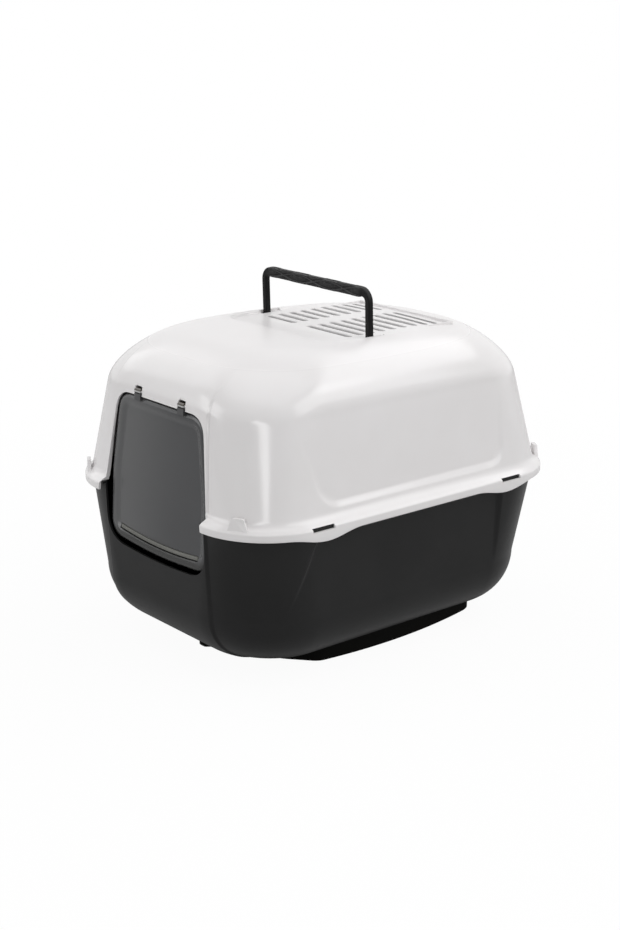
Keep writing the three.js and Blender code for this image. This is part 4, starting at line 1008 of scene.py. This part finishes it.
def flap_section():
    """The flap's skin: from its middle at the front, over the rolled edge, to its middle behind."""
    front = [
        (16.6, 3.0), (15.5, 2.94), (14.4, 2.75), (13.3, 2.4), (12.2, 1.92), (11.1, 1.4), (10.0, 0.92),
        (8.9, 0.53), (7.8, 0.25), (6.7, 0.07), (5.6, 0.0), (4.5, 0.05), (3.4, 0.22), (2.4, 0.5),
        (1.5, 0.92), (0.7, 1.4), (0.25, 1.95), (0, 2.4), (0.2, 2.8),
    ]
    back = [
        (0.9, 0.6), (2.6, 0.45), (5.4, 0.0), (6.6, 0.12), (7.6, 0.5), (8.5, 1.2), (9.2, 2.0),
        (10.0, 2.7), (11.0, 3.0),
    ]
    section = [(inset * MM, depth * MM) for inset, depth in front]
    return section + [(inset * MM, FLAP_THICKNESS + depth * MM) for inset, depth in back]


def strip_outline(inset):
    end = STRIP_HALF_LENGTH - inset
    low, high = STRIP_Z + inset, STRIP_Z + STRIP_HEIGHT - inset
    return rounded([
        (-end, low + STRIP_RISE, STRIP_CORNER),
        (0, low, STRIP_BEND),
        (end, low + STRIP_RISE, STRIP_CORNER),
        (end, high + STRIP_RISE, STRIP_CORNER),
        (0, high, STRIP_BEND),
        (-end, high + STRIP_RISE, STRIP_CORNER),
    ], 18)


dish_y = FLAP_FRONT_Y + FLAP_DISH
flap = plate("flap_panel", flap_outline, [(inset, FLAP_FRONT_Y + depth) for inset, depth in flap_section()])
groove = plate("strip_groove", strip_outline, [
    (-1.2 * MM, FLAP_FRONT_Y - 1 * MM),
    (-1 * MM, dish_y + 1.2 * MM),
])
strip = plate("flap_strip", strip_outline, [
    (0.5 * MM, dish_y - STRIP_PROUD),
    (0.15 * MM, dish_y - STRIP_PROUD + 0.2 * MM),
    (0, dish_y - STRIP_PROUD + 0.6 * MM),
    (0, dish_y + 1.6 * MM),
])
join(flap, [groove], "DIFFERENCE")
lean = Matrix.Translation((0, HINGE_Y, HINGE_Z)) @ Matrix.Rotation(-FLAP_LEAN, 4, "X")
for part in (flap, strip):
    part.data.transform(lean @ Matrix.Translation((0, -HINGE_Y, -HINGE_Z)))
    smooth_with_edges(part, 38)

smoke, where = new_finish("smoked_grey")
x, _, z = smoke.split(where)
# Painted light: the flap's colour grows lighter towards its left side, where the lamps on the doorway's
# side fall on it.
painted_light_to_left = x.clamped(60 * MM, -110 * MM)
# Painted shade: the flap's colour darkens towards its foot, away from the light that falls from above.
painted_shade_to_foot = z.clamped(FLAP_BOTTOM + 23 * MM, FLAP_BOTTOM + 9 * MM)
drift = smoke.noise(where, 6, 3)
haze = smoke.noise(where, 60, 4)
tone = smoke.blend(drift.clamped(0.3, 0.7), (0.043, 0.044, 0.047, 1), (0.053, 0.054, 0.057, 1))
tone = smoke.blend(painted_light_to_left, tone, (0.115, 0.116, 0.118, 1))
tone = smoke.blend(painted_shade_to_foot, tone, (0.03, 0.03, 0.029, 1))
finished(flap, smoke.done(smoke.plastic({
    "Base Color": tone,
    "Roughness": 0.17 + haze * 0.07,
    "Specular IOR Level": 0.4,
    "Normal": smoke.bump(smoke.noise(where, 300, 2), 0.00005, 0.2),
})))
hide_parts("door_flap")

matt, where = new_finish("matt_strip")
speckle = matt.noise(where, 800, 3)
# Partly painted highlight: the strip is pale plastic, and its colour is set paler still to stand in for the
# overhead light its face catches.
tone = matt.blend(speckle.clamped(0.3, 0.7), (0.15, 0.15, 0.138, 1), (0.19, 0.19, 0.175, 1))
finished(strip, matt.done(matt.plastic({
    "Base Color": tone,
    "Roughness": 0.5 + speckle * 0.2,
    "Specular IOR Level": 0.3,
    "Normal": matt.bump(speckle, 0.0001, 0.3),
})))
for part in (flap, strip):
    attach(part, "flap")

hook_parts = []
for side in (-1, 1):
    x = side * HINGE_X
    x0, x1 = x - HOOK_HALF_WIDTH, x + HOOK_HALF_WIDTH
    ring = round_bar("flap_hook", HOOK_OUTER, x0, x1, HINGE_Y, HINGE_Z, 40)
    neck_low = (x0, HINGE_Y - HOOK_OUTER + 0.2 * MM, FLAP_TOP - 3 * MM)
    neck = block("hook_neck", neck_low, (x1, HINGE_Y + 0.4 * MM, HINGE_Z - HOOK_INNER - 0.6 * MM))
    join(ring, [neck], "UNION")
    bore = round_bar("hook_bore", HOOK_INNER, x - BORE_REACH, x + BORE_REACH, HINGE_Y, HINGE_Z, 40)
    mouth_low = (x - BORE_REACH, HINGE_Y, HINGE_Z - 0.6 * HOOK_INNER)
    mouth_high = (x + BORE_REACH, HINGE_Y + 20 * MM, HINGE_Z + 0.2 * HOOK_INNER)
    mouth = block("hook_mouth", mouth_low, mouth_high)
    hook_parts.append(join(ring, [bore, mouth], "DIFFERENCE"))
hooks = join(hook_parts[0], [hook_parts[1]], "UNION")
hooks.name = "flap_hooks"
smooth_with_edges(hooks, 38)

clear, where = new_finish("thin_smoked_grey")
z = clear.split(where)[2]
cloud = clear.noise(where, 120, 3)
# Painted light: a pale band at the bar's height is a painted highlight on the hook's edge. The dark brown
# above it is painted shade, so that the hook's top reads as the shaded pocket.
painted_highlight_from = z.clamped(HINGE_Z - 1.2 * MM, HINGE_Z - 0.6 * MM)
painted_shade_from = z.clamped(HINGE_Z + 0.4 * MM, HINGE_Z + 0.9 * MM)
tone = clear.blend(painted_highlight_from, (0.05, 0.05, 0.052, 1), (0.5, 0.5, 0.5, 1))
tone = clear.blend(painted_shade_from, tone, (0.035, 0.027, 0.016, 1))
tone = clear.blend(cloud.clamped(0.5, 0.8) * 0.2, tone, (0.13, 0.13, 0.135, 1))
finished(hooks, clear.done(clear.plastic({
    "Base Color": tone,
    "Roughness": 0.16 + cloud * 0.08,
    "Normal": clear.bump(cloud, 0.0001, 0.3),
})))
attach(hooks, "flap")

# ---- Carry handle --------------------------------------------------------------------------
# A black bail moulded in one piece. Its legs end in eyes with pins that turn under the roof, and
# its thicker grip is embossed with crossing waves so that it holds in the hand.

LEG_SIZE = 7.5 * MM
GRIP_HEIGHT = 12.2 * MM
GRIP_DEPTH = 10.4 * MM
GRIP_SAG = 1.1 * MM
BAIL_CORNER = 12 * MM
HANDLE_GRIP_Z = HANDLE_PIVOT_Z + 58.7 * MM
HANDLE_LEAN = math.radians(2.3)
EYE_RADIUS = 4.8 * MM
PIN_RADIUS = 3 * MM
PIN_REACH = 7 * MM
WAVE_PITCH = 56 * MM
WAVE_DEPTH = 1.1 * MM
WAVE_HEIGHT = 0.78
SQUARENESS = 0.36
RING_POINTS = 56

stations = [(-HANDLE_X, z, 90.0) for z in spread(HANDLE_PIVOT_Z, HANDLE_GRIP_Z - BAIL_CORNER, 16)]
for turn in np.linspace(180, 90, 15):
    bend = math.radians(turn)
    x = -HANDLE_X + BAIL_CORNER + BAIL_CORNER * math.cos(bend)
    stations.append((x, HANDLE_GRIP_Z - BAIL_CORNER + BAIL_CORNER * math.sin(bend), turn - 90))
grip_end = HANDLE_X - BAIL_CORNER
left_leg = stations[:]
stations += [(x, HANDLE_GRIP_Z, 0.0) for x in np.linspace(-grip_end, grip_end, 242)[1:-1]]
stations += [(-x, z, -angle) for x, z, angle in left_leg[::-1]]
turn = (np.arange(RING_POINTS) + 0.5) * 2 * math.pi / RING_POINTS
square_u = np.sign(np.cos(turn)) * np.abs(np.cos(turn)) ** SQUARENESS
square_v = np.sign(np.sin(turn)) * np.abs(np.sin(turn)) ** SQUARENESS
upright = np.abs(square_v) > np.abs(square_u)
rings = []
for x, z, angle in stations:
    grip = float(eased(HANDLE_X + 1 * MM, grip_end - 4 * MM, abs(x)))
    wide = LEG_SIZE + (GRIP_HEIGHT - LEG_SIZE) * grip
    deep = LEG_SIZE + (GRIP_DEPTH - LEG_SIZE) * grip
    u = square_u * wide / 2
    v = square_v * deep / 2
    along = x / WAVE_PITCH * math.pi
    face = np.where(upright, square_u, square_v)
    wave = WAVE_HEIGHT * np.sin(along + np.where(upright, 0, math.pi / 2))
    furrow = np.minimum(np.abs(face - wave), np.abs(face + wave))
    on_grip = float(eased(grip_end + 3 * MM, grip_end - 5 * MM, abs(x)))
    sink = 1 - WAVE_DEPTH * on_grip * (1 - eased(0.12, 0.32, furrow)) / (wide / 2)
    u, v = u * sink - GRIP_SAG * grip, v * sink
    lean = math.radians(angle)
    rings.append(np.column_stack([x - u * math.sin(lean), v, z + u * math.cos(lean)]))
handle = tube("bail", rings, flipped=True)
pivots = []
half = LEG_SIZE / 2
for side in (-1, 1):
    x = side * HANDLE_X
    pivots.append(round_bar("handle_eye", EYE_RADIUS, x - half, x + half, 0, HANDLE_PIVOT_Z, 40))
    pivots.append(round_bar("handle_pin", PIN_RADIUS, x - PIN_REACH, x + PIN_REACH, 0, HANDLE_PIVOT_Z, 32))
join(handle, pivots, "UNION")
lean = Matrix.Translation((0, HANDLE_Y, HANDLE_PIVOT_Z)) @ Matrix.Rotation(HANDLE_LEAN, 4, "X")
handle.data.transform(lean @ Matrix.Translation((0, 0, -HANDLE_PIVOT_Z)))
smooth_with_edges(handle, 50)

black, where = new_finish("black_satin")
x, _, z = black.split(where)
grain = black.noise(where, 1500, 3)
rub = black.noise(where, 45, 4)
tone = black.blend(rub.clamped(0.42, 0.75), (0.0025, 0.0025, 0.0026, 1), (0.007, 0.007, 0.0072, 1))
# Painted highlight: on the grip the cells are painted lighter than the legs, and the lines along the waves
# lighter still, standing in for light caught by the embossed waves.
along = x * (math.pi / WAVE_PITCH)
wave = along.sum("SINE", along) * WAVE_HEIGHT
rise = (z - (HANDLE_GRIP_Z - GRIP_SAG)) / (GRIP_HEIGHT / 2)
from_wave = rise.sum("MINIMUM", (rise - wave).size(), (rise + wave).size())
on_grip = z.clamped(HANDLE_GRIP_Z - 9 * MM, HANDLE_GRIP_Z - 6 * MM)
on_grip = on_grip * x.size().clamped(grip_end + 3 * MM, grip_end - 3 * MM)
tone = black.blend(from_wave.clamped(0.3, 0.5) * on_grip, tone, (0.02, 0.02, 0.0203, 1))
tone = black.blend(from_wave.clamped(0.2, 0.08) * on_grip, tone, (0.042, 0.042, 0.043, 1))
finished(handle, black.done(black.plastic({
    "Base Color": tone,
    "Roughness": 0.36 + rub * 0.12,
    "Specular IOR Level": 0.13,
    "Normal": black.bump(grain, 0.00006, 0.4),
})))
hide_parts("carry_handle")
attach(handle, "handle")

# ---- Filter holder -------------------------------------------------------------------------
# A shallow slotted cassette of pale polypropylene on rails under the vents. It draws forwards by
# a thumb tab.

pale, where = new_finish("pale_satin")
mottle = pale.noise(where, 25, 3)
tone = pale.blend(mottle.clamped(0.3, 0.7), (0.62, 0.61, 0.59, 1), (0.68, 0.67, 0.65, 1))
finished(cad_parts["filter_holder"], pale.done(pale.plastic({
    "Base Color": tone,
    "Roughness": 0.38 + mottle * 0.12,
    "Normal": pale.bump(pale.noise(where, 900, 2), 0.00005, 0.3),
})))

# ---- Charcoal filter -----------------------------------------------------------------------
# A pad of needled felt filled with activated carbon, loose in its holder. Its edges are soft and
# its faces are stitched down in shallow rows.

PAD_QUILT_PITCH = 26 * MM
PAD_EDGE = 2.2 * MM
PAD_CELL = 1.7 * MM
pad_low, pad_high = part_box("charcoal_filter")
middle = (pad_low + pad_high) / 2
span_x, span_y, span_z = (high - low for low, high in zip(pad_low, pad_high))
columns = int(span_x / PAD_CELL)
rows = int(span_y / PAD_CELL)
half_x = span_x / 2 - 0.2 * MM
half_y = span_y / 2 - 0.2 * MM
half_z = span_z / 2 - 0.1 * MM
u = np.linspace(-1, 1, columns + 1)
v = np.linspace(-1, 1, rows + 1)
grid_u, grid_v = np.meshgrid(u, v)
from_edge = np.minimum(half_x * (1 - np.abs(grid_u)), half_y * (1 - np.abs(grid_v)))
round_off = np.sqrt(np.maximum(1 - (1 - np.clip(from_edge / PAD_EDGE, 0, 1)) ** 2, 0))
row_line = np.abs(((grid_v * half_y / PAD_QUILT_PITCH) % 1) - 0.5)
seeded = np.random.default_rng(7)
fuzz = seeded.normal(0, 0.09 * MM, grid_u.shape) * (from_edge > 0.1 * MM)
dent = 0.9 * MM * (1 - eased(0.0, 0.09, row_line)) * eased(0, 4 * MM, from_edge)
upper = (half_z - PAD_EDGE) + PAD_EDGE * round_off - dent + fuzz
pad_x = middle.x + grid_u * half_x
pad_y = middle.y + grid_v * half_y
faces_z = (middle.z + upper, middle.z - upper)
points = np.concatenate([np.stack([pad_x, pad_y, face_z], -1).reshape(-1, 3) for face_z in faces_z])
number = np.arange((rows + 1) * (columns + 1)).reshape(rows + 1, columns + 1)
top = np.stack([number[:-1, :-1], number[:-1, 1:], number[1:, 1:], number[1:, :-1]], -1).reshape(-1, 4)
below = top[:, ::-1] + number.size
edge = np.concatenate([number[0], number[1:, -1], number[-1, -2::-1], number[-2:0:-1, 0]])
next_edge = np.roll(edge, -1)
rim = np.stack([edge + number.size, next_edge + number.size, next_edge, edge], -1)
pad = add_object("carbon_pad", points, np.concatenate([top, below, rim]).tolist())
smooth_with_edges(pad, 60)

felt, where = new_finish("carbon_felt")
fibres = felt.noise(where, 700, 5)
specks = felt.noise(where, 1900, 2)
tone = felt.blend(fibres.clamped(0.35, 0.68), (0.008, 0.008, 0.008, 1), (0.032, 0.032, 0.033, 1))
tone = felt.blend(specks.clamped(0.66, 0.74), tone, (0.09, 0.09, 0.09, 1))
finished(pad, felt.done(felt.plastic({
    "Base Color": tone,
    "Roughness": 0.9 + fibres * 0.08,
    "Sheen Weight": 0.15,
    "Normal": felt.bump(fibres, 0.0006, 0.8),
})))
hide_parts("charcoal_filter")
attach(pad, "filter")
